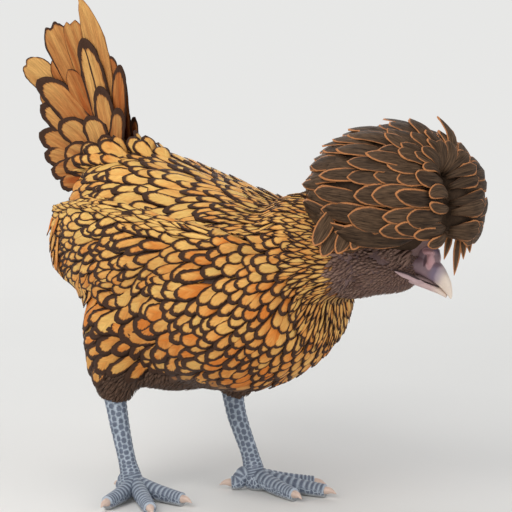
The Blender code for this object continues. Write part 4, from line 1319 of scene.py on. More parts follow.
# tip, root and half width of the feathers that hang down in front of the bill's root
HANGING = [
    ((194.1, 37.5, 171.5), (190.1, 46.7, 203.0), 3.6), ((189.7, 32.3, 182.0), (187.5, 43.0, 205.0), 3.4),
    ((190.4, 57.8, 184.0), (186.0, 58.0, 206.0), 4.0), ((193.0, 48.0, 181.0), (190.0, 50.0, 206.0), 3.8)]
# the same for the long feathers that fall over the side of the nape
NAPE = [
    ((147.1, -37.6, 186.7), (145.3, -14.2, 212.8), 6.4), ((142.8, -40.5, 193.7), (141.5, -16.7, 219.2), 6.2),
    ((153.7, -30.6, 188.6), (150.9, -8.8, 212.2), 6.0), ((160.2, -23.6, 191.1), (157.2, -2.4, 212.2), 5.6)]


def crest_spacing(reach):
    """The distance between the feathers of one row."""
    return np.interp(reach, [0.15, 0.5, 1.2], [7.6, 10.0, 12.4])


def crest_low_limit(away):
    """How low a tip may reach: highest over the eye, lower in front and lowest at the nape."""
    bearing = np.arctan2(abs(away[1]), away[0])
    return -0.60 - 0.27 * ramp(1.7, 2.2, bearing) + 0.16 * np.exp(-((bearing - 1.25) / 0.42) ** 2)


print(len(CREST_ROWS), "rows of tips and", len(FREE_TIPS), "free ones")

# %% One crest feather
# how far below its limit a shaft may dip
SUNK = -0.06


def plume(tip, chance, stand_out=0.0, wide=1.0):
    """Points, half width and length of the crest feather whose tip is at a place of the map.

    Its shaft runs from the nearest place of the parting to the tip and turns sideways by the square
    of the way s. Its share of the way from knob to outline is
    out - 0.11 (1-s) - depth (1-s)^k + stand_out s².
    """
    long, bow = 1.08 * chance.uniform(0.88, 1.12), chance.uniform(-0.22, 0.22)
    for climb in (0.0, 0.3, 0.6, 0.9):
        source = np.array([0.0, min(np.clip(tip[1], PARTING_LOW, PARTING_HIGH) + climb, PARTING_HIGH)])
        reach = np.linalg.norm(tip - source)
        turn = np.arctan2(tip[1] - source[1], tip[0] - source[0])
        start = max(reach - long, 0.01 + 0.05 * reach)
        bend = bow / max(reach, 0.6)
        s = np.linspace(0.33, 1, 17)
        way = np.stack([np.cos(turn + bend * (s**2 - 1)), np.sin(turn + bend * (s**2 - 1))], -1)
        path = crest_away(source + way * (start + (reach - start) * s)[:, None])
        clear = min(away[2] - crest_low_limit(away) for away in path) > SUNK
        if clear:
            break
    out = np.interp(reach, [1.3, 2.0], [0.985, 0.955]) + chance.uniform(-0.02, 0.02)
    s = np.linspace(0, 1, 25)
    depth = np.interp(reach, [0.5, 1.05], [0.17, 0.98])
    power = np.interp(reach, [0.30, 0.8], [2.4, 5.0])
    share = out - 0.11 * (1 - s) - depth * (1 - s) ** power + stand_out * s**2
    lines = []
    for aside in (-0.02, 0.0, 0.02):
        angle = turn + aside + bend * (s**2 - 1)
        way = np.stack([np.cos(angle), np.sin(angle)], -1)
        flat = source + way * (start + (reach - start) * s)[:, None]
        lines.append(crest_place(crest_away(flat), share))
    travelled = np.linalg.norm(np.diff(lines[1], axis=0), axis=1).sum()
    half = np.interp(reach, [0.35, 0.8], [0.50, 0.61]) * crest_spacing(reach)
    half = half * chance.uniform(0.80, 1.20) * wide
    across = unit(lines[2] - lines[0])
    outward = unit(np.cross(unit(np.gradient(lines[1], axis=0)), across))
    v = PLUME.v
    centre, side, normal = (np.stack([np.interp(v, s, a[:, c]) for c in range(3)], -1)
                            for a in (lines[1], across, outward))
    # the blade's face looks away from the knob
    flip = np.sign((normal * (centre - KNOB_CENTRE)).sum(-1, keepdims=True))
    normal = normal * flip
    ragged = 1 + 0.04 * chance.standard_normal(len(v)) * (np.abs(PLUME.u) > 0.9)
    height = (0.35 * (1 - np.abs(PLUME.u)) * (0.5 - PLUME.below) - 1.2 * PLUME.u**2 * half / 8
              + chance.uniform(-0.08, 0.08) * PLUME.x * half + chance.uniform(-0.4, 0.4) * v)
    drawn_out = np.where(v > 0.5, 1 - 0.9 * max(0.85 - wide, 0) / 0.35 * (v - 0.5), 1.0)
    wide_by = (PLUME.x * ragged * drawn_out * half)[:, None]
    return centre + side * wide_by * -flip + normal * height[:, None], half, travelled, reach, clear


print("a crest feather has", len(PLUME.faces), "triangles")

# %% Feathers that hang from the crest
def hanging(tip, root, half):
    """Points of a feather that hangs in a slight arc from root to tip, drawn out to a point."""
    tip, root = np.array(tip), np.array(root)
    v = PLUME.v[:, None]
    down = unit(tip - root)
    front = root[0] > 180
    facing = CREST_TURN[:, 0] - 0.6 * CREST_TURN[:, 1] if front else np.array([0.6, -0.8, 0.1])
    across = unit(np.cross(down, facing))
    out = np.cross(across, down) * np.sign(np.cross(across, down) @ facing)
    narrow = np.where(v > 0.45, 1 - (0.75 if front else 0.3) * (v - 0.45) / 0.55, 1.0)
    u, below = PLUME.u[:, None], PLUME.below[:, None]
    return (root + (tip - root) * v + across * PLUME.x[:, None] * narrow * half
            + out * (2.5 * (v - v**2) + 0.35 * (1 - np.abs(u)) * (0.5 - below)))


print("the first of them is", np.ptp(hanging(*HANGING[0])[:, 2]).round(1), "mm long")

# %% Crest feathers
def crest():
    """The crest's feathers, in rows from the parting to the nape, and the tips that stand free."""
    chance = np.random.default_rng(11)
    coat = Coat()
    tips = []
    for row, reach in enumerate(CREST_ROWS):
        source, way = round_parting(reach)
        rim = crest_place(crest_away(source + way * reach), np.ones(len(source)))
        travelled = np.concatenate([[0], np.cumsum(np.linalg.norm(np.roll(rim, -1, 0) - rim, axis=1))])
        count = max(5, int(round(travelled[-1] / crest_spacing(reach))))
        for k in range(count):
            at = (k + 0.5 * (row % 2) + chance.uniform(-0.30, 0.30)) / count % 1.0 * travelled[-1]
            here = min(int(np.searchsorted(travelled, at, "right")) - 1, len(source) - 1)
            tip = source[here] + way[here] * (reach + chance.uniform(-1, 1) * min(0.18, 0.17 * reach))
            away = crest_away(tip)
            if away[2] < crest_low_limit(away):
                continue
            stands = chance.random() < np.interp(reach, [0.6, 1.0, 1.9], [0.0, 0.2, 0.45])
            tips.append((tip, chance.uniform(0.025, 0.075) * stands, 1 - 0.15 * stands))
    tips += [(to_map(unit(np.array(away))), stand_out, wide) for away, stand_out, wide in FREE_TIPS]
    for tip, root, half in HANGING + NAPE:
        coat.add(PLUME, hanging(tip, root, half)[None], half, 32.0, [[0.5, 0.42]], 0.006,
                 lace=1.5 if root[0] > 180 else 1.2, tone=0.4, warm=0.4)
    for tip, stand_out, wide in tips:
        points, half, length, reach, clear = plume(tip, chance, stand_out, wide)
        if clear:
            rim = ramp(0.2, 0.62, PLUME.v) - 0.1 * (reach < 0.6)
            coat.add(PLUME, points[None], half, length, 0.5 + tip[None] / 6.6, 0.006,
                     lace=chance.uniform(0.8, 1.2) * rim[None], tone=chance.random(), warm=0.5)
    coat.make("crest_feathers", CREST)


crest()

# %% [markdown]
# ## Down inside the crest
#
# Between the crest's feathers dense dark down shows. Thousands of hidden tufts would do the same at a
# cost, so one closed shell stands a little further in than the feathers, with a groove where they
# part.

# %% Crest down
def crest_down():
    """A closed shell at 0.84 of the way out, whose grid lies at the places a (cos b, sin b) of the map."""
    a = np.linspace(0.02, np.pi - 0.02, 60)[:, None]
    b = np.linspace(0, 2 * np.pi, 72, endpoint=False)[None]
    flat = np.stack([a * np.cos(b), a * np.sin(b)], -1)
    away = crest_away(flat)
    past = np.maximum(np.abs(flat[..., 1] - 0.5 * (PARTING_LOW + PARTING_HIGH))
                      - 0.5 * (PARTING_HIGH - PARTING_LOW), 0)
    from_parting = flat[..., 0] ** 2 + past**2
    groove = np.exp(-(from_parting / 0.11**2))
    share = 0.84 - 0.22 * groove - 0.50 * ramp(-0.25, -0.62, away[..., 2])
    share -= 0.07 * np.exp(-(from_parting / 0.5**2))
    made, n, shader = new_material("crest_down", 0.8, Specular_IOR_Level=0.1)
    strand = n.noise(n.place(), 420.0, 3.0, 0.7)
    n.put(shader["Base Color"], n.mix(strand, linear(36, 27, 20), linear(78, 60, 46)))
    n.put(shader["Normal"], n.bump(0.6, 0.0008, strand))
    return outwards(mesh_object("crest_down", *closed_rings(crest_place(away, share)), made))


keep_piece(crest_down())

# %% [markdown]
# ## The face
#
# Tiny dark feathers cover the cheeks and the beard and grow away from the bill, and a brow of longer
# ones hangs over the eye. The body's form is too coarse for them, so these smaller, denser tufts lie
# on a finer form of the head and neck alone.

# %% Where the face's feathers grow
face_form = as_one([skull(), neck()], voxel=2.0, smoothing=3)


def face_lie(p, outward):
    """Backwards over the cheeks from the root of the bill, and down on the beard."""
    away = unit(p - on_head([30, 0, 4]))
    away[:, 2] -= 0.25
    return away


def is_face(p, outward):
    """The face as far forwards as the root of the bill."""
    return (face_share(p) >= 0.35) & (head_place(p)[:, 0] < 28.5)


def face_size(p):
    """2.7 mm on the beard and 1.4 mm by the bill."""
    return np.interp(head_place(p)[:, 0], [-20, 5, 25], [2.7, 2.0, 1.4])


def face_spacing(p):
    """Distances along and across the lie, as multiples of the size."""
    return 1.1 * face_size(p), 0.8 * face_size(p)


def face_map(at):
    """A place of the face on the bake's map, unwrapped round the head's line."""
    turn = np.arctan2(at[:, 1], -at[:, 2]) / (2 * np.pi) + 0.5
    return np.stack([turn, np.clip((at[:, 0] + 40) / 75, 0.01, 0.99)], -1)


roots, outward, lie, chance = scattered(face_form, is_face, face_lie, face_spacing, seed=13, density=2.4)
at = head_place(roots)
# a bare oval round each eye
bare = (np.hypot((at[:, 0] - 9) / 7.5, (at[:, 2] - 9) / 6.5) < 1) & (np.abs(at[:, 1]) > 8)
roots, outward, lie, at = roots[~bare], outward[~bare], lie[~bare], at[~bare]
count = len(roots)
print(count, "roots on the face")

# %% Cheeks and beard
THIN = {"camber": 0.05, "thick": 0.08, "roll": 0.06}
size = face_size(roots)
half = 0.80 * size * chance.uniform(0.85, 1.15, count)
length = 3.6 * size * chance.uniform(0.85, 1.15, count)
turned = turned_aside(lie, outward, chance.uniform(-0.22, 0.22, count) + 0.3 * drift(roots, 9, 14.0))
points = laid(TUFT, roots - turned * length[:, None] * 0.25, outward, turned, half, length,
              0.2 + chance.uniform(-0.08, 0.08, count), chance, face_form, **THIN)
gold = chance.random(count) < 0.75 * ramp(-10, -21, at[:, 0])
dark = ~gold
tone = 0.5 + 0.4 * drift(roots[dark], 4, 9.0) + chance.uniform(-0.3, 0.3, dark.sum())
face_coat = Coat()
face_coat.add(TUFT, points[dark], half[dark], length[dark], face_map(at[dark]), 0.003, lace=0.12,
              tone=np.clip(tone, 0, 1), warm=np.clip(0.5 + 0.55 * drift(roots[dark], 19, 7.0), 0, 1))
flecks = Coat()
flecks.add(TUFT, points[gold], half[gold] * 0.9, length[gold] * 1.3, face_map(at[gold]), 0.003, lace=0.35,
           tone=chance.random(gold.sum()), warm=0.6, fade=0.35)
print(dark.sum(), "dark tufts and", gold.sum(), "golden ones")

# %% Brow
brow = np.array([[x, side * 15, z] for side in (-1, 1) for z in (20, 17, 14.5, 12.5, 10.5)
                 for x in np.arange(-4, 24, 1.1) if z > 11 or 0 < x < 18])
brow += chance.uniform(-0.8, 0.8, brow.shape)
roots, outward = wrapped(on_head(brow), face_form)
count = len(roots)
lie = np.broadcast_to(HEAD_AXES @ [-0.55, 0.0, -1.0], roots.shape) + chance.uniform(-0.2, 0.2, roots.shape)
half, length = chance.uniform(0.9, 1.3, count), chance.uniform(8, 11, count)
# the tufts right over the eye are wider, so that they cover it from the side
half *= 1 + 0.75 * np.exp(-(((brow[:, 0] - 10) / 5) ** 2))
points = laid(TUFT, roots, outward, lie, half, length, 6.5 + chance.uniform(-0.3, 0.4, count), chance,
              face_form, **THIN)
face_coat.add(TUFT, points, half, length, face_map(head_place(roots)), 0.003, lace=0.05,
              tone=chance.random(count), warm=np.clip(0.5 + 0.5 * drift(roots, 19, 7.0), 0, 1))
face_coat.make("face_feathers", FACE)
flecks.make("cheek_flecks", GOLD)

# %% [markdown]
# ## The bill
#
# The bill is pale horn over bone, hooked at its tip, and in this breed its root rises to a knob with
# open nostrils. Sections along the head's axis give its two halves. The nostrils could be cut with a
# Boolean, but a push inwards leaves the soft edge that flesh has.

# %% Horn
def horn_material():
    """Pale pink horn and cream tip, with the dark skin of the face over the root, painted shade in the
    nostrils' slits and a bluish ridge.
    """
    made, n, shader = new_material("bill_horn", 0.38)
    place = n.place()
    streak = n.noise(place, 260.0, 3.0)
    blotch = n.noise(place, 110.0, 2.0)
    colour = n.mix(n.value("tip"), linear(196, 166, 168), linear(232, 216, 200))
    colour = n.mix(n.scaled(streak, 0.4, -0.10), colour, linear(150, 118, 116))
    # root is the dark skin over the bill's root and, on the upper half, painted shade in the nostrils' slits
    root = n.step(0.30, 0.70, n.plus(n.value("root"), n.scaled(blotch, 0.5, -0.25)))
    colour = n.mix(n.times(root, 0.92), colour, n.mix(streak, linear(96, 74, 80), linear(138, 110, 118)))
    colour = n.mix(n.times(n.value("blue"), 0.52), colour, linear(110, 102, 134))
    n.put(shader["Base Color"], n.mix(n.times(n.value("pink"), 0.8), colour, linear(186, 136, 140)))
    n.put(shader["Roughness"], n.scaled(streak, 0.25, 0.30))
    n.put(shader["Normal"], n.bump(0.25, 0.0003, streak))
    return made


HORN = horn_material()

# %% Sections of the bill
# place along the bill, half width, lower edge, upper edge
UPPER_ROWS = [(2, 9.5, 1.4, 9), (12, 8.8, 2.8, 15), (20, 7.4, 3, 16.5), (27, 6, 2.3, 15),
              (33, 4.4, 0.8, 11), (38, 2.8, -1.4, 6.3), (41.3, 1.3, -3.4, 0.3), (42, 0.4, -4.3, -3.2)]
LOWER_ROWS = [(2, 9.2, -6, 0.8), (12, 8.3, -5, 2.2), (20, 7.2, -4.2, 2.6), (27, 5.6, -3.8, 2.1),
              (33, 3.6, -3.6, 0.5), (38, 1.2, -4, -1.9)]
# where the rows start along the head's axis, and how far below it they lie
BILL_START, BILL_DROP = 11.2, 2.4


def bill(rows, sides=32):
    """Superellipse rings of a half bill from rows of place, half width, lower edge and upper edge."""
    x, half_width, low, high = through(rows, 49).T
    middle = 0.5 * (low + high)
    above, below = np.maximum(high - middle, 0.2), np.maximum(middle - low, 0.2)
    out, upward = outline(np.maximum(half_width, 0.2), above, below, sides, 2.3)
    along = np.broadcast_to(BILL_START + x[:, None], out.shape)
    return on_head(np.stack([along, out, middle[:, None] - BILL_DROP + upward], -1))


print("the upper half ends", BILL_START + UPPER_ROWS[-1][0], "mm ahead of the head's centre")

# %% Bill
def upper_bill():
    """The hooked upper half, with the nostrils as slits darkened by painted shade, between two fleshy arches
    and a low knob.
    """
    tilt = HEAD_AXES @ np.array(Matrix.Rotation(np.radians(-16), 3, "Y"))
    solids = [closed_rings(bill(UPPER_ROWS)),
              ellipsoid(on_head([28.0, 0, 14.5]), [8.5, 5.6, 8.4], HEAD_AXES)]
    for place, radii in (([32.6, 4.6, 13.6], [2.3, 2.6, 5.4]), ([29.2, 4.4, 18.0], [3.8, 2.2, 1.8])):
        for side in (-1, 1):
            solids.append(ellipsoid(on_head(np.array(place) * [1, side, 1]), np.array(radii), tilt))
    made = as_one(solids, voxel=0.5, smoothing=4)
    made.name = "bill_upper"
    made.data.materials.append(HORN)
    p, out = corners(made), normals_of(made)
    x, y, z = head_place(p).T
    slit = np.hypot((x - 29.4 + 0.28 * (z - 13)) / 0.9, (z - 12.6) / 3.4)
    slit = ramp(1.4, 0.5, slit) * (np.abs(y) > 3.0)
    reshaped(made, p - out * (1.6 * slit)[:, None])
    made.data.shade_smooth()
    lean = x + 0.28 * (z - 13.6)
    arch = ramp(1.3, 0.8, np.hypot((lean - 32.6) / 2.4, (z - 13.6) / 5.4))
    arch = np.maximum(arch, ramp(1.3, 0.8, np.hypot((x - 29.2) / 4.2, (z - 18.0) / 2.2)))
    arch *= (np.abs(y) > 2.5) * (1 - slit)
    dark = ramp(44.5, 36.0, x + 0.10 * z) * ramp(24.5, 19.0, z)
    ridge = ramp(33, 38, x) * ramp(46, 41, x) * ramp(-1, 4, z) * ramp(14, 9, z)
    # the slits join the root's dark colour as painted shade inside the nostrils
    return with_values(made, tip=ramp(36, 46, x), pink=arch, root=np.maximum(dark, slit) * (1 - arch),
                       blue=(ridge + ramp(17, 22, z)) * (1 - arch))


def lower_bill():
    """The lower half, shorter and straighter, with a paler edge along the mouth."""
    made = outwards(mesh_object("bill_lower", *closed_rings(bill(LOWER_ROWS)), HORN))
    x, _, z = head_place(corners(made)).T
    edge = ramp(-6.5, -3.6, z)
    return with_values(made, tip=np.maximum(ramp(36, 46, x), 0.2 * edge), pink=0.15 + 0 * x,
                       blue=0 * x, root=ramp(36, 22, x) * (1 - edge))


keep_piece(upper_bill())
keep_piece(lower_bill())

# %% [markdown]
# ## The mouth
#
# The mouth is a dark line from the bill back over the cheek, above a lip of bare pink skin. A line in
# the material would be blurred by the bake, so both are thin tubes, laid over bill and face.

# %% Mouth
# place, distance from the middle, height, half height: first the pale lip below the mouth
LIP = [(34, 6.6, -1.8, 0.8), (30, 8.6, -1.7, 2), (26, 11, -1.4, 1.9), (21, 14, -0.6, 1.3),
       (16.5, 17, 0.5, 0.4)]
# and then the mouth's dark line
LINE = [(43.5, 2.6, -0.6, 0.35), (38, 5.4, 0.1, 0.55), (31, 8, 0.8, 0.7), (24, 12.5, 1.1, 0.75),
        (16, 17.5, 1.1, 0.4)]


def gape_material():
    """Pale pink skin with a fine mottle, and near black inside the mouth's line."""
    made, n, shader = new_material("gape_skin", 0.55)
    mottle = n.noise(n.place(), 420.0, 2.0)
    skin = n.mix(mottle, linear(168, 138, 142), linear(206, 178, 178))
    n.put(shader["Base Color"], n.mix(n.value("line"), skin, linear(50, 28, 28)))
    n.put(shader["Normal"], n.bump(0.3, 0.0003, mottle))
    return made


def mouth():
    """The lip and the mouth's dark line: flat tubes along paths that are wrapped on bill and face."""
    halves = [closed_rings(bill(rows)) for rows in (UPPER_ROWS, LOWER_ROWS)]
    muzzle = as_one([skull(), *halves], voxel=0.8, smoothing=4)
    parts = []
    for rows, proud, thick in ((LIP, -0.1, 0.9), (LINE, 0.1, 0.8)):
        for side in (-1, 1):
            run = through(rows, 33)
            laid_on = wrapped(on_head(run[:, :3] * [1, side, 1]), muzzle)
            path, out = (through(found[::8], 33) for found in laid_on)
            wide, high = np.full(33, thick), run[:, 3]
            parts.append(closed_rings(carried(path + out * proud, wide, high, high, 14)))
    bpy.data.objects.remove(muzzle)
    made = outwards(mesh_object("mouth", *joined(parts), gape_material()))
    return with_values(made, line=np.arange(len(made.data.vertices)) >= 2 * len(parts[0][0]))


keep_piece(mouth())

# %% [markdown]
# ## Eyes and lids
#
# The eye is a glossy ball, nearly hidden under the crest. An image could carry pupil and iris, but
# rings by the distance from the eye's axis stay sharp at any size. The lids are a wrinkled rim round
# it, drawn out to an almond.

# %% Materials of eye and lids
# the ball's radius, its half thickness along its axis and its centre, along the head's axes
EYE_RADIUS, EYE_DEPTH = 4.6, 3.4
EYE_AT = np.array([9.0, 17.0, 9.0])


def eye_material():
    """A black pupil, a red bay iris with fine spokes, and a dark rim, by distance from the eye's axis."""
    made, n, shader = new_material("eye_gloss", 0.08, Coat_Weight=1.0)
    off = n.value("off_axis")
    spokes = n.noise(n.place(), 1400.0, 2.0)
    iris = n.mix(spokes, linear(120, 44, 16), linear(204, 104, 44))
    colour = n.mix(n.step(0.46, 0.42, off), iris, linear(8, 6, 6))
    n.put(shader["Base Color"], n.mix(n.step(0.80, 0.88, off), colour, linear(24, 14, 12)))
    return made


def lid_material():
    """Purple-brown bare skin, mottled by noise and finely pitted."""
    made, n, shader = new_material("lid_skin", 0.6)
    place = n.place()
    mottle = n.step(0.35, 0.65, n.noise(place, 320.0, 4.0, 0.6))
    n.put(shader["Base Color"], n.mix(mottle, linear(84, 62, 60), linear(128, 98, 92)))
    n.put(shader["Normal"], n.bump(0.5, 0.0004, n.noise(place, 1400.0, 2.0)))
    return made


EYE, LID = eye_material(), lid_material()

# %% Eyes and lids
def eyeball(side):
    """The ball of an eye, flatter along its axis."""
    centre = on_head(EYE_AT * [1, side, 1])
    ball = ellipsoid(centre, [EYE_RADIUS, EYE_DEPTH, EYE_RADIUS], HEAD_AXES)
    made = outwards(mesh_object("eyeball_" + ("left" if side > 0 else "right"), *ball, EYE))
    x, y, z = ((corners(made) - centre) @ HEAD_AXES).T
    return with_values(made, off_axis=np.hypot(x, z) / EYE_RADIUS + (y * side < 0))


def lids(side, rings=48, tubes=16):
    """A soft rim along (a cos t, b sin t), with b less than a, whose tube wrinkles by sin 15t."""
    t = np.linspace(0, 2 * np.pi, rings, endpoint=False)[:, None]
    b = np.linspace(0, 2 * np.pi, tubes, endpoint=False)[None]
    thick = 1.5 + 0.12 * np.sin(15 * t) * (np.cos(b) > 0)
    reach_x, reach_z = 4.7 + thick * np.cos(b), 3.7 + thick * np.cos(b)
    stand_out = side * (0.9 - 0.12 * (reach_x - 4.7) ** 2 + thick * np.sin(b))
    points = np.stack([reach_x * np.cos(t), stand_out, reach_z * np.sin(t)], -1)
    k, s = np.meshgrid(np.arange(rings), np.arange(tubes), indexing="ij")
    k2, s2 = (k + 1) % rings, (s + 1) % tubes
    faces = np.stack([k * tubes + s, k2 * tubes + s, k2 * tubes + s2, k * tubes + s2], -1).reshape(-1, 4)
    centre = on_head(EYE_AT * [1, side, 1] + np.array([0, side * 0.6, 0]))
    return (centre + points @ HEAD_AXES.T).reshape(-1, 3), faces


keep_piece(eyeball(-1))
keep_piece(eyeball(1))
keep_piece(outwards(mesh_object("eye_lids", *joined([lids(-1), lids(1)]), LID)))

# %% [markdown]
# ## Legs
#
# Shank and toes wear horny plates in front and small oval scales at the sides. Bump alone would leave
# their outline smooth, so each scale is raised in the mesh by its place on the limb, and the same
# value colours it.

# %% Materials of the legs
def leg_material():
    """Slate blue scales with dark middles and pale edges, from each point's place on its own scale."""
    made, n, shader = new_material("leg_scales", 0.5)
    place = n.place()
    settings = {"feature": "DISTANCE_TO_EDGE"}
    cells = n.add("ShaderNodeTexVoronoi", settings, Vector=place, Scale=330.0).outputs[0]
    plate = n.value("plate")
    small = n.step(0.02, 0.16, cells)
    scale = n.mix(n.value("front"), n.grey(small), n.grey(plate))
    mottle = n.noise(place, 220.0, 3.0)
    pale = n.mix(mottle, linear(150, 164, 180), linear(198, 208, 220))
    dark = n.mix(mottle, linear(44, 52, 72), linear(96, 108, 132))
    colour = n.mix(n.times(scale, 0.86), pale, dark)
    n.put(shader["Base Color"], n.mix(n.value("pad"), colour, linear(176, 178, 180)))
    n.put(shader["Roughness"], n.scaled(mottle, 0.3, 0.38))
    n.put(shader["Normal"], n.bump(0.5, 0.0005, n.plus(small, n.times(mottle, 0.4))))
    return made


def claw_material():
    """Pale horn that shades from cream to pink."""
    made, n, shader = new_material("claw_horn", 0.4)
    mottle = n.noise(n.place(), 300.0, 3.0)
    n.put(shader["Base Color"], n.mix(mottle, linear(226, 204, 188), linear(196, 168, 156)))
    return made


LEG, CLAW = leg_material(), claw_material()

# %% Scales
def odd_share(column, row):
    """From -0.5 to 0.5 for each scale: what a large multiple of sin(a column + b row) leaves past a whole."""
    return np.sin(12.9898 * np.floor(column) + 78.233 * np.floor(row)) * 43758.5453 % 1.0 - 0.5


def scaled(rows, count, side, sides=24, step=0.5, per=6, columns=0, top_plates=7.0):
    """A limb with raised scales, in rings over its upper side or in offset columns all round.

    A ring rises from 0 to step and drops back at its end. A column's scale is an oval, whose
    height falls from its middle, and the last rings stay plates in front. The two values of each
    point are how far into its scale and how much in front it is.
    """
    run = through(rows, count * per + 1)
    s = np.linspace(0, count, count * per + 1)[:, None]
    turn = np.linspace(0, 2 * np.pi, sides, endpoint=False)[None]
    inside = s % 1.0
    inside[-1] = 1.0
    front = ramp(-0.1, 0.45, np.sin(turn)) + 0 * s
    raised = step * ramp(0, 0.25, inside) * ramp(1.0, 0.86, inside) * (0.25 + 0.75 * front)
    dark = ramp(0.05, 0.3, inside) * ramp(0.95, 0.7, inside) + 0 * turn
    if columns:
        column = turn / (2 * np.pi) * columns + 0 * s
        row = s + 0.5 * (np.floor(column) % 2)
        odd = odd_share(column, row)
        away = np.hypot((column % 1.0 - 0.5 - 0.26 * odd) / (0.50 + 0.22 * odd),
                        (row % 1.0 - 0.5 + 0.22 * odd) / (0.50 - 0.26 * odd))
        away = away + 0.10 * np.sin(9 * column + 17 * row)
        low = ramp(count - top_plates - 1.5, count - top_plates, s) * front
        raised = low * raised + (1 - low) * step * ramp(1.15, 0.75, away)
        dark = low * dark + (1 - low) * ramp(1.12, 0.74, away)
        front = 1 + 0 * front
    rings = carried(run[:, :3], run[:, 3], run[:, 3] * 1.12, run[:, 3] * 1.05, sides, side=side)
    rings = rings + unit(rings - run[:, None, :3]) * raised[..., None]
    points, faces = closed_rings(rings)
    return points, faces, np.append(dark.ravel(), [0, 0]), np.append(front.ravel(), [0, 0])


print("the first scales differ by", odd_share(np.arange(3), np.zeros(3)).round(2))

# %% Toes
# the direction of each toe in degrees to the left of straight ahead, and lengths in millimetres
TOES = {"right": {"inner": 7.0, "middle": -31.0, "outer": -71.0, "hind": 172.0},
        "left": {"inner": -9.0, "middle": 18.0, "outer": 45.0, "hind": -132.0}}
TOE_LENGTHS = {"inner": 43.0, "middle": 53.0, "outer": 40.0, "hind": 19.0}
TOE_RADIUS, CLAW_LENGTH = 5.2, 8.5


def toe_path(which, toe):
    """A toe's centre line from the ball of the foot to the root of its claw."""
    foot = FEET[which]
    heading = np.radians(TOES[which][toe])
    ahead = np.array([np.cos(heading), np.sin(heading), 0.0])
    length = TOE_LENGTHS[toe]
    start = foot + [0, 0, 9.0] if toe != "hind" else foot + [-4, 0, 12.0]
    return np.array([start + ahead, start + ahead * length * 0.4 + UP * -2.5,
                     foot + ahead * length * 0.75 + UP * TOE_RADIUS,
                     foot + ahead * length + UP * TOE_RADIUS * 0.9]), ahead


print("the right middle toe ends at", toe_path("right", "middle")[0][-1].round(1))

# %% Legs and claws
def leg(which):
    """Shank, ball of the foot and four toes as overlapping scaled limbs, flat underneath."""
    foot = FEET[which]
    hock = foot + [-HOCK_BACK[which], 0, HOCK_HEIGHT]
    rows = [(*(hock + [-2, 0, 12]), 7.6), (*(hock + [4, 0, -14]), 6.3), (*(foot + [-9, 0, 26]), 5.5),
            (*(foot + [-4, 0, 12]), 7.0), (*(foot + [-2, 0, 5]), 7.0)]
    parts = [scaled(rows, 24, LEFT, sides=90, per=8, columns=10)]
    pad = ellipsoid(foot + [-1, 0, 6.0], [11.0, 9.0, 7.6], np.eye(3))
    parts.append((*pad, np.zeros(len(pad[0])), np.zeros(len(pad[0]))))
    for toe in TOES[which]:
        path, ahead = toe_path(which, toe)
        radius = np.linspace(TOE_RADIUS * 1.12, TOE_RADIUS * 0.80, len(path))
        count = 5 if toe == "hind" else 11
        parts.append(scaled(np.column_stack([path, radius]), count, np.cross(UP, ahead)))
    points, faces = joined([part[:2] for part in parts])
    plate, front = (np.concatenate([part[k] for part in parts]) for k in (2, 3))
    points[:, 2] = np.maximum(points[:, 2], 0.0)
    made = outwards(mesh_object("leg_" + which, points, faces, LEG))
    return with_values(made, plate=plate, front=front, pad=ramp(3.2, 1.2, points[:, 2]))


def claws(which):
    """Four curved claws, each a tapered tube whose tip bends down."""
    parts = []
    for toe in TOES[which]:
        path, ahead = toe_path(which, toe)
        end = path[-1]
        rows = [(*(end - ahead * 1.5 + UP * 0.6), 3.0), (*(end + ahead * 1.5 + UP * 0.9), 2.7),
                (*(end + ahead * CLAW_LENGTH * 0.55 + UP * 0.8), 1.8),
                (*(end + ahead * CLAW_LENGTH + UP * -0.9), 0.25)]
        round_rows = [(*row, row[-1], row[-1]) for row in rows]
        parts.append(limb(round_rows, 15, 16, np.cross(UP, ahead)))
    points, faces = joined(parts)
    points[:, 2] = np.maximum(points[:, 2], 0.0)
    return outwards(mesh_object("claws_" + which, points, faces, CLAW))


for which in ("right", "left"):
    keep_piece(leg(which))
    keep_piece(claws(which))

# %% [markdown]
# ## Pieces and nodes
#
# The model stands still, so every piece rides on its one body. A CAD node left visible would show
# through its feathers, so each is replaced by the piece that stands for it.

# %% Ride and replace
for helper in (form, face_form):
    bpy.data.objects.remove(helper)
for piece in pieces.values():
    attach(piece, "root")

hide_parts("torso", "neck", "head", "thigh_right", "thigh_left")
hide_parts("wing_right")
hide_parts("wing_left")
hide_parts("tail")
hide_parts("crest")
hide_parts("beak_upper")
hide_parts("beak_lower")
for which in ("right", "left"):
    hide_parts("eye_" + which)
    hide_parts("shank_" + which, "foot_" + which)
    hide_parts(*(f"claw_{which}_{toe}" for toe in TOE_LENGTHS))

# %% [markdown]
# ## Floor, light and camera
#
# A pale floor and large soft lights leave the coat's own colours to speak, and the camera stands
# before the bird's right shoulder with a long lens. A plain disc would end in a visible edge, so the
# floor's rim rises and glows.

# %% Camera
def aimed(obj, place, target):
    """Puts an object at a place, looking at a target along its own -Z."""
    obj.location = Vector((np.asarray(place) + SHIFT) * MM)
    way = Vector((np.asarray(target, float) - place) * MM)
    obj.rotation_euler = way.to_track_quat("-Z", "Y").to_euler()
    bpy.context.scene.collection.objects.link(obj)
    return obj


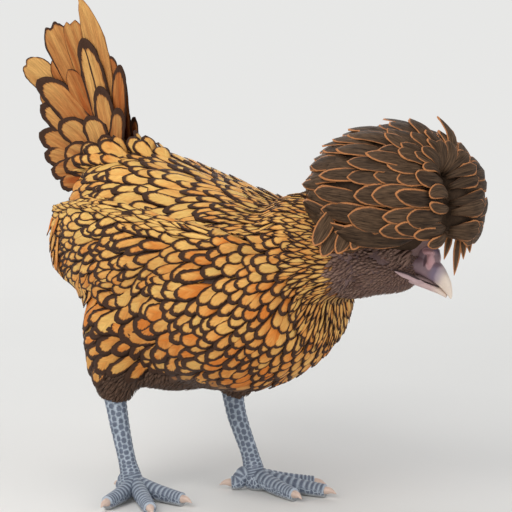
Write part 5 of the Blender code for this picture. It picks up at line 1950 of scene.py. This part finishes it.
# what the camera looks at, how wide the picture is there, and where the camera stands round it
TARGET, VIEW_WIDTH = np.array([25.0, 25.0, 169.0]), 358.4
AZIMUTH, ELEVATION, DISTANCE = np.radians(45.0), np.radians(8.0), 1490.0
SENSOR_WIDTH = 36.0
level = np.array([np.sin(AZIMUTH), -np.cos(AZIMUTH), 0.0])
toward = level * np.cos(ELEVATION) + UP * np.sin(ELEVATION)
camera = bpy.data.objects.new("camera", bpy.data.cameras.new("camera"))
camera.data.lens = SENSOR_WIDTH * DISTANCE / VIEW_WIDTH
aimed(camera, TARGET + toward * DISTANCE, TARGET)
bpy.context.scene.camera = camera
print("the camera's lens is", round(camera.data.lens), "mm long")

# %% Floor
# radius of the flat middle in metres, how high the rim rises, and the floor's rings and sides
FLAT, RISE, RINGS, SIDES = 2.2, 3.2, 45, 64


def studio_floor():
    """A round floor whose rim rises in a curve: height = rise (1 - cos) of the way past the flat."""
    reach = np.linspace(0, 2 * FLAT, RINGS)[:, None]
    turn = np.linspace(0, 2 * np.pi, SIDES, endpoint=False)[None]
    past = np.clip((reach - FLAT) / FLAT, 0, 1) * np.pi / 2
    out = np.minimum(reach, FLAT) + FLAT * np.sin(past)
    points = np.stack([out * np.cos(turn), out * np.sin(turn), RISE * (1 - np.cos(past)) + 0 * turn], -1)
    material, n, shader = new_material("studio_floor", 1.0, Specular_IOR_Level=0.0)
    ground = n.mix(n.noise(n.place(), 3.0, 2.0), (0.78, 0.78, 0.77, 1), (0.82, 0.82, 0.81, 1))
    n.put(shader["Base Color"], n.mix(n.value("glow"), ground, BLACK))
    n.put(shader["Emission Color"], n.mix(n.value("glow"), BLACK, (0.80, 0.80, 0.79, 1)))
    shader["Emission Strength"].default_value = 1.0
    quads = ring_quads(RINGS, SIDES)
    made = mesh_object("studio_floor", points.reshape(-1, 3) / MM, quads, material, place=False)
    return with_values(made, glow=ramp(0.45, 1.7, np.broadcast_to(out, (RINGS, SIDES)).ravel()))


studio_floor()
print("the floor is", 4 * FLAT, "m across")

# %% Light
def soft_light(name, place, size, power, colour=(1, 1, 1)):
    """A square area light that looks at the bird, with its size in metres and its power in watts."""
    light = bpy.data.lights.new(name, "AREA")
    light.size = size
    light.energy = power
    light.color = colour
    return aimed(bpy.data.objects.new(name, light), np.array(place, float), TARGET)


soft_light("key_light", (300, -1500, 1500), 1.2, 18.5, (1.0, 0.97, 0.93))
soft_light("fill_light", (1600, 300, 700), 1.4, 6, (0.95, 0.97, 1.0))
soft_light("top_light", (-400, -200, 1800), 1.2, 8)
soft_light("rear_light", (-1300, 1000, 900), 1.2, 7)
world = bpy.data.worlds.new("studio")
world.use_nodes = True
sky = world.node_tree.nodes["Background"].inputs
sky[0].default_value = (0.9, 0.92, 0.95, 1)
sky[1].default_value = 0.24
bpy.context.scene.world = world
bpy.context.scene.view_settings.view_transform = "Standard"
print("four soft lights are on")
